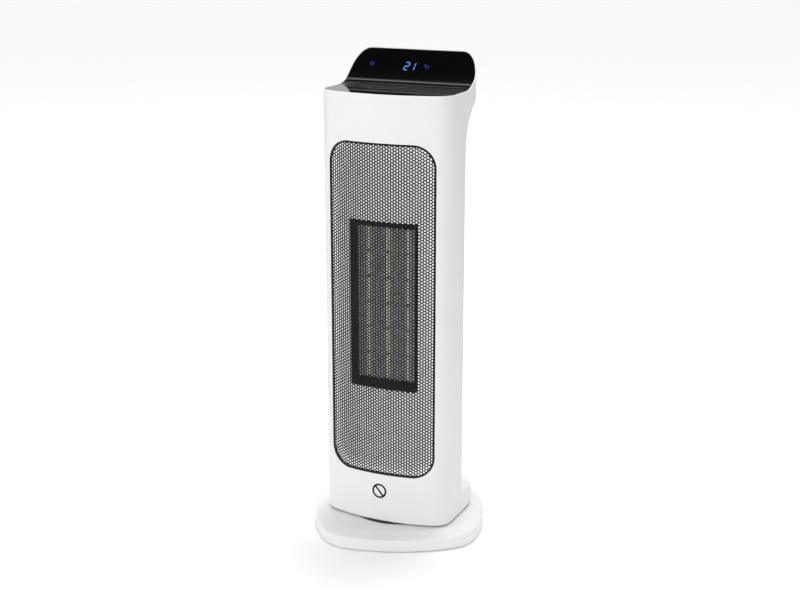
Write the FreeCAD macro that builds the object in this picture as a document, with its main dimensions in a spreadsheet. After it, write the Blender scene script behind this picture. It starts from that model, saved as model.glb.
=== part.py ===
import FreeCAD, Part
import math
import os
import re

import Sketcher
from FreeCAD import Placement, Rotation, Vector

# A tower heater on a turning base. The origin is on the floor under the swivel axis, +Z is up and the
# tower's grille faces -Y. The base is turned by rest_turn about the swivel axis. Millimetres and degrees.
sizes = {
    # tower, in plan: a bowed front, flat sides and a flat back with round corners
    "tower_half_width": 87.0,
    "front_reach": 64.0,
    "front_radius": 222.0,
    "front_corner": 25.0,
    "rear_corner": 24.6,
    "foot_reach": 57.0,
    # tower, in height
    "tower_bottom": 24.4,
    "foot_top": 50.0,
    "total_height": 620.0,
    "deck_drop": 43.0,
    "sweep_drop": 115.0,
    "sweep_radius": 66.8,
    "lip_radius": 4.0,
    "bend_start": 5.0,
    "bend_radius": 42.0,
    "slope_angle": 57.0,
    "wall": 2.5,
    "seam": 0.2,
    "edge_round": 0.9,
    "rim_width": 1.2,
    "rim_round": 0.5,
    "fit": 0.2,
    # front opening, mesh and baffle
    "opening_half_width": 71.5,
    "opening_bottom": 88.6,
    "opening_drop": 102.0,
    "opening_corner": 28.0,
    "mesh_frame_width": 2.2,
    "mesh_frame_depth": 3.0,
    "mesh_frame_inset": 0.5,
    "mesh_inset": 1.7,
    "mesh_thickness": 0.8,
    "baffle_inset": 10.0,
    "baffle_thickness": 2.0,
    "baffle_overlap": 2.5,
    "window_half_width": 47.0,
    "window_bottom": 200.5,
    "window_drop": 201.0,
    # heater block
    "heater_frame_front": 44.0,
    "heater_frame_back": 23.0,
    "heater_frame_lap": 2.0,
    "core_front": 38.0,
    "core_back": 24.0,
    "core_border": 9.0,
    "element_pitch": 27.0,
    "element_width": 2.6,
    "plate_thickness": 0.9,
    "stone_height": 29.0,
    "terminal_width": 6.3,
    "terminal_thickness": 0.8,
    "terminal_drop": 16.0,
    # blower
    "fan_offset": 14.0,
    "fan_radius": 18.5,
    "fan_gap": 1.5,
    "fan_end_gap": 3.0,
    "fan_disc": 1.4,
    "blade_thickness": 0.7,
    "blade_depth": 6.0,
    "shaft_radius": 2.5,
    "running_fit": 0.05,
    "casing_wall": 1.5,
    "casing_bend": 28.0,
    "end_plate": 2.0,
    "bearing_radius": 6.0,
    "bearing_length": 6.0,
    "fan_motor_radius": 20.5,
    "fan_motor_length": 36.0,
    "fan_motor_gap": 8.0,
    # rear intake
    "intake_half_width": 48.0,
    "intake_bottom": 150.0,
    "intake_drop": 178.0,
    "intake_corner": 8.0,
    "slot_pitch": 9.0,
    "slot_height": 4.6,
    "slot_margin": 8.0,
    "filter_thickness": 0.6,
    "filter_gap": 0.4,
    # screws through the back
    "boss_inset": 13.0,
    "boss_low": 72.0,
    "boss_drop": 134.0,
    "boss_radius": 5.4,
    "screw_head_radius": 3.3,
    "screw_head_height": 2.2,
    "screw_radius": 1.6,
    "flat_head_height": 1.4,
    # tower floor, hub and swivel drive
    "floor_thickness": 3.0,
    "floor_boss_inset": 8.0,
    "floor_boss_height": 14.0,
    "turret_radius": 24.0,
    "turret_bore": 18.0,
    "turret_top": 33.0,
    "hub_radius": 31.0,
    "hub_gap": 0.25,
    "gear_module": 1.5,
    "gear_teeth": 36.0,
    "pinion_teeth": 12.0,
    "gear_thickness": 5.0,
    "gear_backlash": 0.25,
    "pinion_shaft": 1.5,
    "swivel_motor_radius": 12.5,
    "swivel_motor_height": 19.0,
    "swivel_motor_lift": 42.0,
    "swivel_ear_offset": 17.5,
    # base
    "rest_turn": 24.0,
    "base_half_width": 112.0,
    "base_half_depth": 105.0,
    "base_corner": 50.0,
    "base_corner_across": 52.0,
    "base_corner_along": 47.0,
    "foot_lift": 2.0,
    "base_wall_top": 17.0,
    "base_top": 22.0,
    "base_shoulder": 18.0,
    "base_wall": 2.5,
    "base_round": 2.0,
    "base_plate": 2.5,
    "rubber_foot_radius": 9.0,
    "rubber_foot_across": 66.0,
    "rubber_foot_along": 62.0,
    "base_screw_across": 82.0,
    "base_screw_along": 40.0,
    "base_boss_radius": 4.5,
    "slide_ring_inner": 58.0,
    "slide_ring_outer": 66.0,
    "slide_gap": 0.1,
    # control panel and electronics
    "panel_drop": 0.4,
    "panel_thickness": 2.0,
    "display_along": 43.5,
    "display_offset": -19.0,
    "display_width": 86.0,
    "display_height": 13.0,
    "display_depth": 2.4,
    "board_thickness": 1.6,
    "control_board_width": 120.0,
    "control_board_height": 24.0,
    "power_board_width": 58.0,
    "power_board_bottom": 68.0,
    "power_board_height": 76.0,
    "power_board_gap": 7.0,
    # switch and cord outlet in the foot's back
    "switch_offset": -36.0,
    "switch_height": 38.0,
    "switch_width": 21.0,
    "switch_tall": 15.0,
    "switch_body_width": 19.0,
    "switch_body_tall": 13.0,
    "switch_body_depth": 14.0,
    "switch_rim": 1.6,
    "rocker_half_width": 8.0,
    "rocker_half_tall": 5.4,
    "rocker_tilt": 8.0,
    "rocker_pin": 1.0,
    "gland_offset": 36.0,
    "gland_radius": 7.5,
    "gland_bore": 3.5,
    "gland_body": 5.5,
}

# what follows from the sizes; the back lies as far out as the wheel, its casing and the filter need
derived = {
    "back_reach": "wall + filter_thickness + filter_gap + casing_wall + fan_gap + fan_radius",
    "boss_offset": "tower_half_width - boss_inset",
    "deck_height": "total_height - deck_drop",
    "sweep_start": "total_height - sweep_drop",
    "sweep_turn": "acos(1 - (foot_reach - back_reach) / (sweep_radius + lip_radius))",
    "sweep_end": "sweep_start + (sweep_radius + lip_radius) * sin(sweep_turn)",
    "opening_top": "total_height - opening_drop",
    "window_top": "total_height - window_drop",
    "intake_top": "total_height - intake_drop",
    "boss_high": "total_height - boss_drop",
    "boss_middle": "(boss_low + boss_high) / 2",
}

doc = FreeCAD.newDocument("tower_heater")
sheet = doc.addObject("Spreadsheet::Sheet", "Sizes")
for row, (alias, amount) in enumerate(sizes.items(), start=1):
    sheet.set(f"A{row}", alias)
    sheet.set(f"B{row}", str(amount))
    sheet.setAlias(f"B{row}", alias)
doc.recompute()

upright = Rotation()
along_x = Rotation(Vector(0, 1, 0), 90)
along_y = Rotation(Vector(1, 0, 0), -90)
downward = Rotation(Vector(1, 0, 0), 180)
forward = Rotation(Vector(1, 0, 0), 90)
sides = (-1, 1)
corner_spots = [(x, y) for x in sides for y in sides]
pilot = "screw_radius - 0.3"
clear_hole = "screw_radius + fit / 2"
flat_head = ("screw_head_radius - 0.4", "flat_head_height")
floor_top = "tower_bottom + floor_thickness"


def cell(word):
    name = word[0]
    if name in derived:
        return f"({cells(derived[name])})"
    return f"Sizes.{name}" if name in sizes else name


def cells(formula):
    """The formula with what is derived written out, and each size's name as a cell of the sheet."""
    return re.sub("[a-z_]+", cell, formula)


def number(formula):
    return float(sheet.evalExpression(cells(formula)))


def bind(item, **formulas):
    for name, formula in formulas.items():
        item.setExpression(name.replace("__", "."), cells(formula))


def place(item, x, y, z, rotation=upright):
    item.Placement = Placement(Vector(), rotation)
    bind(item, Placement__Base__x=x, Placement__Base__y=y, Placement__Base__z=z)


# ---- primitives and booleans whose sizes are formulas over the sheet ----


def sized_box(label, x, y, z):
    item = doc.addObject("Part::Box", label)
    bind(
        item,
        Length=f"({x[1]}) - ({x[0]})",
        Width=f"({y[1]}) - ({y[0]})",
        Height=f"({z[1]}) - ({z[0]})",
    )
    return item


def block(label, x, y, z):
    """A box between two formulas along each axis."""
    item = sized_box(label, x, y, z)
    place(item, x[0], y[0], z[0])
    return item


def rod(label, radius, start, length, rotation=upright):
    item = doc.addObject("Part::Cylinder", label)
    bind(item, Radius=radius, Height=length)
    place(item, *start, rotation)
    return item


def fuse(label, *pieces):
    item = doc.addObject("Part::MultiFuse", label)
    item.Shapes = list(pieces)
    item.Refine = True
    return item


def cut(label, base, *tools):
    item = doc.addObject("Part::Cut", label)
    item.Base = base
    item.Tool = tools[0] if len(tools) == 1 else fuse(label + "_tools", *tools)
    item.Refine = True
    return item


def common(label, one, other):
    item = doc.addObject("Part::Common", label)
    item.Base = one
    item.Tool = other
    return item


def group(label, pieces):
    item = doc.addObject("Part::Compound", label)
    item.Links = list(pieces)
    return item


def rounded(label, base, radius, wanted):
    """The base with the edges that wanted accepts rounded."""
    doc.recompute()
    size = number(radius)
    edges = [(index, size, size) for index, edge in enumerate(base.Shape.Edges, start=1) if wanted(edge)]
    item = doc.addObject("Part::Fillet", label)
    item.Base = base
    item.Edges = edges
    return item


# ---- bodies, sketches and their features ----


def new_body(label):
    return doc.addObject("PartDesign::Body", label)


def new_sketch(body, name, plane, lift="0"):
    sketch = body.newObject("Sketcher::SketchObject", name)
    support = next(f for f in body.Origin.OriginFeatures if f.Role == plane + "_Plane")
    sketch.AttachmentSupport = (support, [""])
    sketch.MapMode = "FlatFace"
    bind(sketch, AttachmentOffset__Base__z=lift)
    return sketch


def rule(sketch, formula, *constraint):
    """A dimension of the sketch, bound to a formula."""
    index = sketch.addConstraint(Sketcher.Constraint(*constraint, number(formula)))
    sketch.setExpression(f"Constraints[{index}]", cells(formula))


def loop(sketch, pieces, joints):
    """Adds the pieces end to end; joints says how each one meets the next."""
    first = sketch.GeometryCount
    for piece in pieces:
        sketch.addGeometry(piece, False)
    count = len(pieces)
    for index, joint in enumerate(joints):
        sketch.addConstraint(
            Sketcher.Constraint(joint, first + index, 2, first + (index + 1) % count, 1)
        )
    return first


def rectangle(sketch, x, y):
    """A rectangle between two formulas along each of the sketch's axes."""
    x0, x1, y0, y1 = (number(f) for f in (*x, *y))
    corners = [Vector(x0, y0), Vector(x1, y0), Vector(x1, y1), Vector(x0, y1)]
    sides = [Part.LineSegment(a, b) for a, b in zip(corners, corners[1:] + corners[:1])]
    first = loop(sketch, sides, ["Coincident"] * 4)
    for index, way in enumerate(("Horizontal", "Vertical", "Horizontal", "Vertical")):
        sketch.addConstraint(Sketcher.Constraint(way, first + index))
    for corner, (across, up) in ((0, (x[0], y[0])), (2, (x[1], y[1]))):
        rule(sketch, across, "DistanceX", -1, 1, first + corner, 1)
        rule(sketch, up, "DistanceY", -1, 1, first + corner, 1)


def circle(sketch, x, y, radius):
    item = Part.Circle(Vector(number(x), number(y)), Vector(0, 0, 1), number(radius))
    index = sketch.addGeometry(item, False)
    rule(sketch, radius, "Radius", index)
    rule(sketch, x, "DistanceX", -1, 1, index, 3)
    rule(sketch, y, "DistanceY", -1, 1, index, 3)


def arc(centre, radius, start, end):
    """An anticlockwise arc between two angles in degrees."""
    ring = Part.Circle(Vector(*centre), Vector(0, 0, 1), radius)
    return Part.ArcOfCircle(ring, math.radians(start), math.radians(end))


def centre_rule(sketch, index, x, y):
    rule(sketch, x, "DistanceX", -1, 1, index, 3)
    rule(sketch, y, "DistanceY", -1, 1, index, 3)


def rounded_rectangle(sketch, half_width, low, high, radius):
    """A rectangle with round corners, centred across the sketch."""
    w, y0, y1, r = (number(f) for f in (half_width, low, high, radius))
    pieces = [
        Part.LineSegment(Vector(r - w, y0), Vector(w - r, y0)),
        arc((w - r, y0 + r), r, 270, 360),
        Part.LineSegment(Vector(w, y0 + r), Vector(w, y1 - r)),
        arc((w - r, y1 - r), r, 0, 90),
        Part.LineSegment(Vector(w - r, y1), Vector(r - w, y1)),
        arc((r - w, y1 - r), r, 90, 180),
        Part.LineSegment(Vector(-w, y1 - r), Vector(-w, y0 + r)),
        arc((r - w, y0 + r), r, 180, 270),
    ]
    first = loop(sketch, pieces, ["Tangent"] * 8)
    across = f"({half_width}) - ({radius})"
    for index, side, height in ((1, 1, low), (3, 1, high), (5, -1, high), (7, -1, low)):
        rule(sketch, radius, "Radius", first + index)
        lift = f"({height}) + ({radius})" if height == low else f"({height}) - ({radius})"
        centre_rule(sketch, first + index, f"{side} * ({across})", lift)


def pad(body, sketch, length):
    item = body.newObject("PartDesign::Pad", "Pad")
    item.Profile = sketch
    bind(item, Length=length)
    return item


def pocket(body, sketch, length=None, both_ways=False, backwards=False):
    """Cuts the sketch away; the cut must take material."""
    before = body.Tip
    doc.recompute()
    volume = before.Shape.Volume
    item = body.newObject("PartDesign::Pocket", "Pocket")
    item.Profile = sketch
    item.Type = 1 if length is None else 0
    item.Midplane = both_ways
    item.Reversed = backwards
    if length is not None:
        bind(item, Length=length)
    doc.recompute()
    if item.Shape.Volume >= volume - 0.01:
        raise RuntimeError(f"{body.Label}: {sketch.Name} cuts nothing")
    return item


# ---- the tower's plan outline, a fixed distance inside its outer surface ----


def tower_outline(body, name, inset, reach, lift):
    """Bowed front, flat sides, and a flat back at the reach with round corners."""
    sketch = new_sketch(body, name, "XY", lift)
    gap, back = number(inset), number(reach)
    half = number("tower_half_width") - gap
    bow = number("front_radius") - gap
    front = number("front_corner") - gap
    rear = number("rear_corner") - gap
    middle = number("front_radius - front_reach")
    rear_y = back - gap - rear
    corner_x = half - front
    swing = math.degrees(math.asin(corner_x / (bow - front)))
    corner_y = middle - math.sqrt((bow - front) ** 2 - corner_x**2)
    pieces = [
        arc((0, middle), bow, 270 - swing, 270 + swing),
        arc((corner_x, corner_y), front, 270 + swing, 360),
        Part.LineSegment(Vector(half, corner_y), Vector(half, rear_y)),
        arc((half - rear, rear_y), rear, 0, 90),
        Part.LineSegment(Vector(half - rear, rear_y + rear), Vector(rear - half, rear_y + rear)),
        arc((rear - half, rear_y), rear, 90, 180),
        Part.LineSegment(Vector(-half, rear_y), Vector(-half, corner_y)),
        arc((-corner_x, corner_y), front, 180, 270 - swing),
    ]
    loop(sketch, pieces, ["Tangent"] * 8)
    rule(sketch, f"front_radius - ({inset})", "Radius", 0)
    centre_rule(sketch, 0, "0", "front_radius - front_reach")
    rule(sketch, f"front_corner - ({inset})", "Radius", 1)
    rule(sketch, f"front_corner - ({inset})", "Radius", 7)
    across = "tower_half_width - rear_corner"
    for index, side in ((3, 1), (5, -1)):
        rule(sketch, f"rear_corner - ({inset})", "Radius", index)
        centre_rule(sketch, index, f"{side} * ({across})", f"({reach}) - rear_corner")
    for index in (2, 6):
        sketch.addConstraint(Sketcher.Constraint("Vertical", index))
    return sketch


def tower_volume(label, inset, bottom, top):
    """The tower's closed form: a straight trunk, a deeper foot, and a head that sweeps out to the back."""
    trunk = new_body(label + "_trunk")
    outline = tower_outline(trunk, label + "_trunk_outline", inset, "back_reach", bottom)
    pad(trunk, outline, f"({top}) - ({bottom})")
    outline = tower_outline(trunk, label + "_foot_outline", inset, "foot_reach", bottom)
    pad(trunk, outline, f"foot_top - ({inset}) - ({bottom})")
    outline = tower_outline(trunk, label + "_head_outline", inset, "foot_reach", "sweep_end")
    pad(trunk, outline, f"({top}) - sweep_end")
    limit = new_body(label + "_limit")
    outline = tower_outline(limit, label + "_limit_outline", inset, "foot_reach", "sweep_start")
    pad(limit, outline, "sweep_end - sweep_start")
    lip = new_body(label + "_lip")
    profile = lip_profile(lip, inset)
    path = lip_path(lip, inset)
    sweep = lip.newObject("PartDesign::AdditivePipe", "Sweep")
    sweep.Profile = profile
    sweep.Spine = (path, ["Edge1", "Edge2"])
    sweep.Mode = "Fixed"
    return fuse(label, trunk, common(label + "_sweep", lip, limit))


def lip_path(body, inset):
    """From upright on the trunk's back, outwards along the sweep and round the lip to upright again."""
    sketch = new_sketch(body, body.Label + "_path", "YZ")
    turn = number("sweep_turn")
    outward = (number("back_reach + sweep_radius"), number("sweep_start"))
    inward = (number("foot_reach - lip_radius"), number("sweep_end"))
    sketch.addGeometry(arc(outward, number(f"sweep_radius + ({inset})"), 180 - turn, 180), False)
    sketch.addGeometry(arc(inward, number(f"lip_radius - ({inset})"), -turn, 0), False)
    sketch.addConstraint(Sketcher.Constraint("Tangent", 0, 1, 1, 1))
    rule(sketch, f"sweep_radius + ({inset})", "Radius", 0)
    centre_rule(sketch, 0, "back_reach + sweep_radius", "sweep_start")
    rule(sketch, "sweep_start", "DistanceY", -1, 1, 0, 2)
    centre_rule(sketch, 1, "foot_reach - lip_radius", "sweep_end")
    rule(sketch, "sweep_end", "DistanceY", -1, 1, 1, 2)
    return sketch


def lip_profile(body, inset):
    """The trunk's back and round corners, run forwards well past the tower's front."""
    sketch = new_sketch(body, body.Label + "_profile", "XY", "sweep_start")
    half = f"tower_half_width - ({inset})"
    corner = f"rear_corner - ({inset})"
    back = f"back_reach - ({inset})"
    front = "-front_reach - foot_reach"
    x, radius, y, start = (number(f) for f in (half, corner, back, front))
    pieces = [
        Part.LineSegment(Vector(-x, start), Vector(x, start)),
        Part.LineSegment(Vector(x, start), Vector(x, y - radius)),
        arc((x - radius, y - radius), radius, 0, 90),
        Part.LineSegment(Vector(x - radius, y), Vector(radius - x, y)),
        arc((radius - x, y - radius), radius, 90, 180),
        Part.LineSegment(Vector(-x, y - radius), Vector(-x, start)),
    ]
    joints = ["Coincident", "Tangent", "Tangent", "Tangent", "Tangent", "Coincident"]
    loop(sketch, pieces, joints)
    for index, way in ((0, "Horizontal"), (1, "Vertical"), (5, "Vertical")):
        sketch.addConstraint(Sketcher.Constraint(way, index))
    rule(sketch, front, "DistanceY", -1, 1, 0, 1)
    for index, side in ((2, 1), (4, -1)):
        rule(sketch, corner, "Radius", index)
        centre_rule(sketch, index, f"{side} * (({half}) - ({corner}))", f"({back}) - ({corner})")
    return sketch


def slope_profile(body, name, depths, far_height):
    """Deck, bend and slope seen from the side, between one depth under them and another, or a height."""
    sketch = new_sketch(body, name, "YZ")
    upper, lower = depths
    angle = number("slope_angle")
    turn = math.radians(angle)
    start, bend, deck = number("bend_start"), number("bend_radius"), number("deck_height")
    front, rear = number("-front_reach - 10"), number("foot_reach + 10")

    def curve(depth):
        radius = bend + depth
        end = Vector(start + radius * math.sin(turn), deck + bend - radius * math.cos(turn))
        far = Vector(rear, end.y + (rear - end.x) * math.tan(turn))
        return radius, end, far

    def upward(first, depth, edge_front, edge_rear):
        """Rules for a deck line, bend arc and slope line that run from the front to the rear."""
        radius = f"bend_radius + ({depth})"
        rule(sketch, radius, "Radius", first + 1)
        centre_rule(sketch, first + 1, "bend_start", "deck_height + bend_radius")
        sketch.addConstraint(Sketcher.Constraint("Horizontal", first))
        rule(sketch, "-front_reach - 10", "DistanceX", -1, 1, first, edge_front)
        rule(sketch, "foot_reach + 10", "DistanceX", -1, 1, first + 2, edge_rear)
        rule(sketch, f"({radius}) * sin(slope_angle)", "DistanceX", first + 1, 3, first + 1, 2)

    low = number(lower)
    radius, end, far = curve(low)
    pieces = [
        Part.LineSegment(Vector(front, deck - low), Vector(start, deck - low)),
        arc((start, deck + bend), radius, 270, 270 + angle),
        Part.LineSegment(end, far),
    ]
    joints = ["Tangent", "Tangent", "Coincident"]
    if upper is None:
        top = number(far_height)
        pieces += [
            Part.LineSegment(far, Vector(rear, top)),
            Part.LineSegment(Vector(rear, top), Vector(front, top)),
            Part.LineSegment(Vector(front, top), Vector(front, deck - low)),
        ]
        joints += ["Coincident"] * 3
        loop(sketch, pieces, joints)
        upward(0, lower, 1, 2)
        sketch.addConstraint(Sketcher.Constraint("Vertical", 3))
        sketch.addConstraint(Sketcher.Constraint("Horizontal", 4))
        sketch.addConstraint(Sketcher.Constraint("Vertical", 5))
        rule(sketch, far_height, "DistanceY", -1, 1, 4, 1)
        return sketch
    high = number(upper)
    radius, end, far_high = curve(high)
    pieces += [
        Part.LineSegment(far, far_high),
        Part.LineSegment(far_high, end),
        arc((start, deck + bend), radius, 270, 270 + angle),
        Part.LineSegment(Vector(start, deck - high), Vector(front, deck - high)),
        Part.LineSegment(Vector(front, deck - high), Vector(front, deck - low)),
    ]
    for piece in pieces:
        sketch.addGeometry(piece, False)
    ends = ((0, 2, 1, 1), (1, 2, 2, 1), (4, 2, 5, 2), (5, 1, 6, 1))
    for one, end_one, other, end_other in ends:
        sketch.addConstraint(Sketcher.Constraint("Tangent", one, end_one, other, end_other))
    for one, end_one, other, end_other in ((2, 2, 3, 1), (3, 2, 4, 1), (6, 2, 7, 1), (7, 2, 0, 1)):
        sketch.addConstraint(Sketcher.Constraint("Coincident", one, end_one, other, end_other))
    upward(0, lower, 1, 2)
    rule(sketch, f"bend_radius + ({upper})", "Radius", 5)
    centre_rule(sketch, 5, "bend_start", "deck_height + bend_radius")
    sketch.addConstraint(Sketcher.Constraint("Horizontal", 6))
    sketch.addConstraint(Sketcher.Constraint("Vertical", 7))
    sketch.addConstraint(Sketcher.Constraint("Vertical", 3))
    rule(sketch, f"(bend_radius + ({upper})) * sin(slope_angle)", "DistanceX", 5, 3, 5, 2)
    return sketch


def side_extrusion(label, profile_depths, far_height="0"):
    """The deck and slope profile, as wide as the tower and a little more."""
    body = new_body(label)
    sketch = slope_profile(body, label + "_profile", profile_depths, far_height)
    item = pad(body, sketch, "2 * tower_half_width + 20")
    item.Midplane = True
    return body


def grille_shape(label, margin, front, back):
    """The front opening's outline, grown by the margin, as a block from front to back along Y."""
    body = new_body(label)
    sketch = new_sketch(body, label + "_outline", "XZ", f"-({front})")
    rounded_rectangle(
        sketch,
        f"opening_half_width + ({margin})",
        f"opening_bottom - ({margin})",
        f"opening_top + ({margin})",
        f"opening_corner + ({margin})",
    )
    item = pad(body, sketch, f"({back}) - ({front})")
    item.Reversed = True
    return body


def skin(label, outer, thickness, bottom, top):
    """A sheet that follows the tower's plan, between two depths under its outer surface."""
    body = new_body(label)
    bow = tower_outline(body, label + "_outside", outer, "back_reach", bottom)
    pad(body, bow, f"({top}) - ({bottom})")
    inside = tower_outline(body, label + "_inside", f"({outer}) + ({thickness})", "back_reach", bottom)
    pocket(body, inside, f"({top}) - ({bottom})", backwards=True)
    return body


def screw(start, length, rotation, head_radius, head_height, shank):
    """A cross-head screw: its head's face is at the start, and its shank runs along the rotated +Z."""
    head, thick = number(head_radius), number(head_height)
    shape = Part.makeCylinder(head, thick).fuse(Part.makeCylinder(number(shank), number(length)))
    half_length, half_width = head * 0.65, head * 0.15
    for turn in (0, 90):
        corner = Vector(-half_length, -half_width, 0)
        slot = Part.makeBox(2 * half_length, 2 * half_width, thick * 0.6, corner)
        slot.rotate(Vector(), Vector(0, 0, 1), turn)
        shape = shape.cut(slot)
    shape = shape.removeSplitter()
    shape.Placement = Placement(Vector(*(number(f) for f in start)), rotation)
    return shape


def screws(label, starts, length, rotation, head=("screw_head_radius", "screw_head_height"), shank=pilot):
    item = doc.addObject("Part::Feature", label)
    item.Shape = Part.makeCompound([screw(start, length, rotation, *head, shank) for start in starts])
    return item


boss_heights = ("boss_low", "boss_middle", "boss_high")


# ---- the two halves of the tower's casing ----


def depth_inside(point, reach):
    """How far a point lies inside the tower's plan outline whose back is at the reach."""
    x, y = abs(point.x), point.y
    half, middle = number("tower_half_width"), number("front_radius - front_reach")
    bow, front, rear = number("front_radius"), number("front_corner"), number("rear_corner")
    rear_y = number(reach) - rear
    if y > rear_y:
        across = x - half + rear
        return rear - math.hypot(across, y - rear_y) if across > 0 else rear_y + rear - y
    front_x = half - front
    front_y = middle - math.sqrt((bow - front) ** 2 - front_x**2)
    if y > front_y:
        return half - x
    if x / (middle - y) < front_x / (middle - front_y):
        return bow - math.hypot(x, y - middle)
    return front - math.hypot(x - front_x, y - front_y)


def outer_edge(edge, reach, low, high):
    """Whether an edge runs along the tower's outer surface between two heights."""
    middle = edge.valueAt((edge.FirstParameter + edge.LastParameter) / 2)
    box = edge.BoundBox
    ends = [vertex.Point for vertex in edge.Vertexes]
    on_surface = all(abs(depth_inside(point, reach)) < 0.05 for point in (middle, *ends))
    return on_surface and low - 0.05 <= box.ZMin and box.ZMax <= high + 0.05


floor_screw_spots = [
    (f"{side} * (tower_half_width - floor_boss_inset)", y) for side in sides for y in ("-24", "26")
]


def floor_bosses(spots):
    """Pillars beside the walls that the floor is screwed to, with their pilot holes."""
    bosses, pilots = [], []
    for x, y in spots:
        bosses.append(rod("floor_boss", "4", (x, y, floor_top), "floor_boss_height"))
        wall_side = f"{x} + floor_boss_inset - wall / 2" if not x.startswith("-") else x
        web = (x, wall_side) if wall_side != x else (f"{x} - floor_boss_inset + wall / 2", x)
        z = (floor_top, f"{floor_top} + floor_boss_height")
        bosses.append(block("floor_web", web, (f"{y} - 1.5", f"{y} + 1.5"), z))
        pilots.append(rod("floor_pilot", pilot, (x, y, f"{floor_top} - 1"), "floor_boss_height - 1"))
    return bosses, pilots


def cover_area(label, inset):
    """The head's outline, drawn in by the inset, from under the deck to over the top."""
    body = new_body(label)
    sketch = tower_outline(body, label + "_outline", inset, "foot_reach", "deck_height - 10")
    pad(body, sketch, "total_height - deck_height + 50")
    return body


def casing():
    form = tower_volume("tower_form", "0", "tower_bottom", "total_height")
    hollow = tower_volume("tower_hollow", "wall", "tower_bottom - 1", "total_height + 5")
    above = side_extrusion("above_deck", (None, "0"), "total_height + 30")
    seat = cover_area("panel_seat", "rim_width")
    ledge = "panel_drop + panel_thickness + running_fit"
    over_seat = side_extrusion("over_seat", (None, ledge), "total_height + 30")
    shell = cut("tower_shell", form, hollow, above, common("seat_space", over_seat, seat))
    x = ("-2 * tower_half_width", "2 * tower_half_width")
    z = ("0", "total_height + 40")
    front = common("front_half", shell, block("front_side", x, ("-2 * front_reach", "-seam / 2"), z))
    rear = common("rear_half", shell, block("rear_side", x, ("seam / 2", "2 * foot_reach"), z))
    return front, rear


def front_housing(half):
    """Carries the mesh; ribs and pilot bosses take the screws that come through the back."""
    bosses, pilots = floor_bosses(floor_screw_spots[::2])
    for side in sides:
        across = f"{side} * boss_offset"
        for height in boss_heights:
            start = (across, "-seam / 2 - 16", height)
            bosses.append(rod("front_boss", "boss_radius - 1.2", start, "16", along_y))
            rib = sorted((0.0, side * 1.0))
            ends = [f"{across} + {end} * (tower_half_width - boss_offset - wall / 2)" for end in rib]
            z = (f"{height} - 1.5", f"{height} + 1.5")
            bosses.append(block("front_rib", ends, ("-seam / 2 - 16", "-seam / 2"), z))
            pilots.append(rod("front_pilot", pilot, (across, "-14", height), "20", along_y))
    opening = grille_shape("grille_opening", "0", "-front_reach - 10", "-front_reach / 2")
    plain = cut("front_plain", fuse("front_with_bosses", half, *bosses), opening, *pilots)

    bottom, deck = number("tower_bottom"), number("deck_height")
    low, high = number("opening_bottom"), number("opening_top")

    def corners(edge):
        return outer_edge(edge, "back_reach", bottom, bottom) or outer_edge(edge, "back_reach", low, high)

    softened = rounded("front_softened", plain, "edge_round", corners)
    return rounded("front_housing", softened, "rim_round", lambda e: outer_edge(e, "foot_reach", deck, deck))


def rear_housing(half):
    """Deeper at the foot and the head, with the intake, the switch and the cord outlet cut in its back."""
    bosses, holes = floor_bosses(floor_screw_spots[1::2])
    for side in sides:
        across = f"{side} * boss_offset"
        for height in boss_heights:
            start = (across, "seam / 2", height)
            bosses.append(rod("rear_boss", "boss_radius", start, "15 - seam / 2", along_y))
            holes.append(rod("rear_hole", "screw_radius + 0.2", (across, "-5", height), "40", along_y))
            start = (across, "8", height)
            holes.append(rod("rear_head_hole", "screw_head_radius + fit", start, "60", along_y))
    for x in ("-power_board_width / 2 - 18", "power_board_width / 2 - 24"):
        for z in ("power_board_bottom + 5", "power_board_bottom + power_board_height - 5"):
            start = (x, "back_reach - wall - power_board_gap", z)
            bosses.append(rod("board_pillar", "3", start, "power_board_gap + wall / 2", along_y))
            holes.append(rod("board_pilot", "1", start, "power_board_gap - 1", along_y))
    intake = new_body("intake_opening")
    sketch = new_sketch(intake, "intake_outline", "XZ", "-back_reach - 5")
    rounded_rectangle(sketch, "intake_half_width", "intake_bottom", "intake_top", "intake_corner")
    pad(intake, sketch, "20")
    x = [f"switch_offset + {side} * (switch_body_width / 2 + fit / 2)" for side in sides]
    z = [f"switch_height + {side} * (switch_body_tall / 2 + fit / 2)" for side in sides]
    switch_hole = block("switch_hole", x, ("foot_reach - 10", "foot_reach + 5"), z)
    start = ("gland_offset", "foot_reach - 10", "switch_height")
    gland_hole = rod("gland_hole", "gland_body + fit / 2", start, "20", along_y)
    whole = fuse("rear_with_bosses", half, *bosses)
    plain = cut("rear_plain", whole, intake, switch_hole, gland_hole, *holes)
    floor, ledge, deck = number("tower_bottom"), number("foot_top"), number("deck_height")
    top = number("total_height")

    def foot_edge(edge):
        level = outer_edge(edge, "foot_reach", floor, floor) or outer_edge(edge, "foot_reach", ledge, ledge)
        return level and edge.Length > 1

    softened = rounded("rear_softened", plain, "edge_round", foot_edge)

    def rim(edge):
        flat = edge.BoundBox.XLength + edge.BoundBox.YLength > 0.5
        return flat and outer_edge(edge, "foot_reach", deck, top)

    return rounded("rear_housing", softened, "rim_round", rim)


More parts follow.
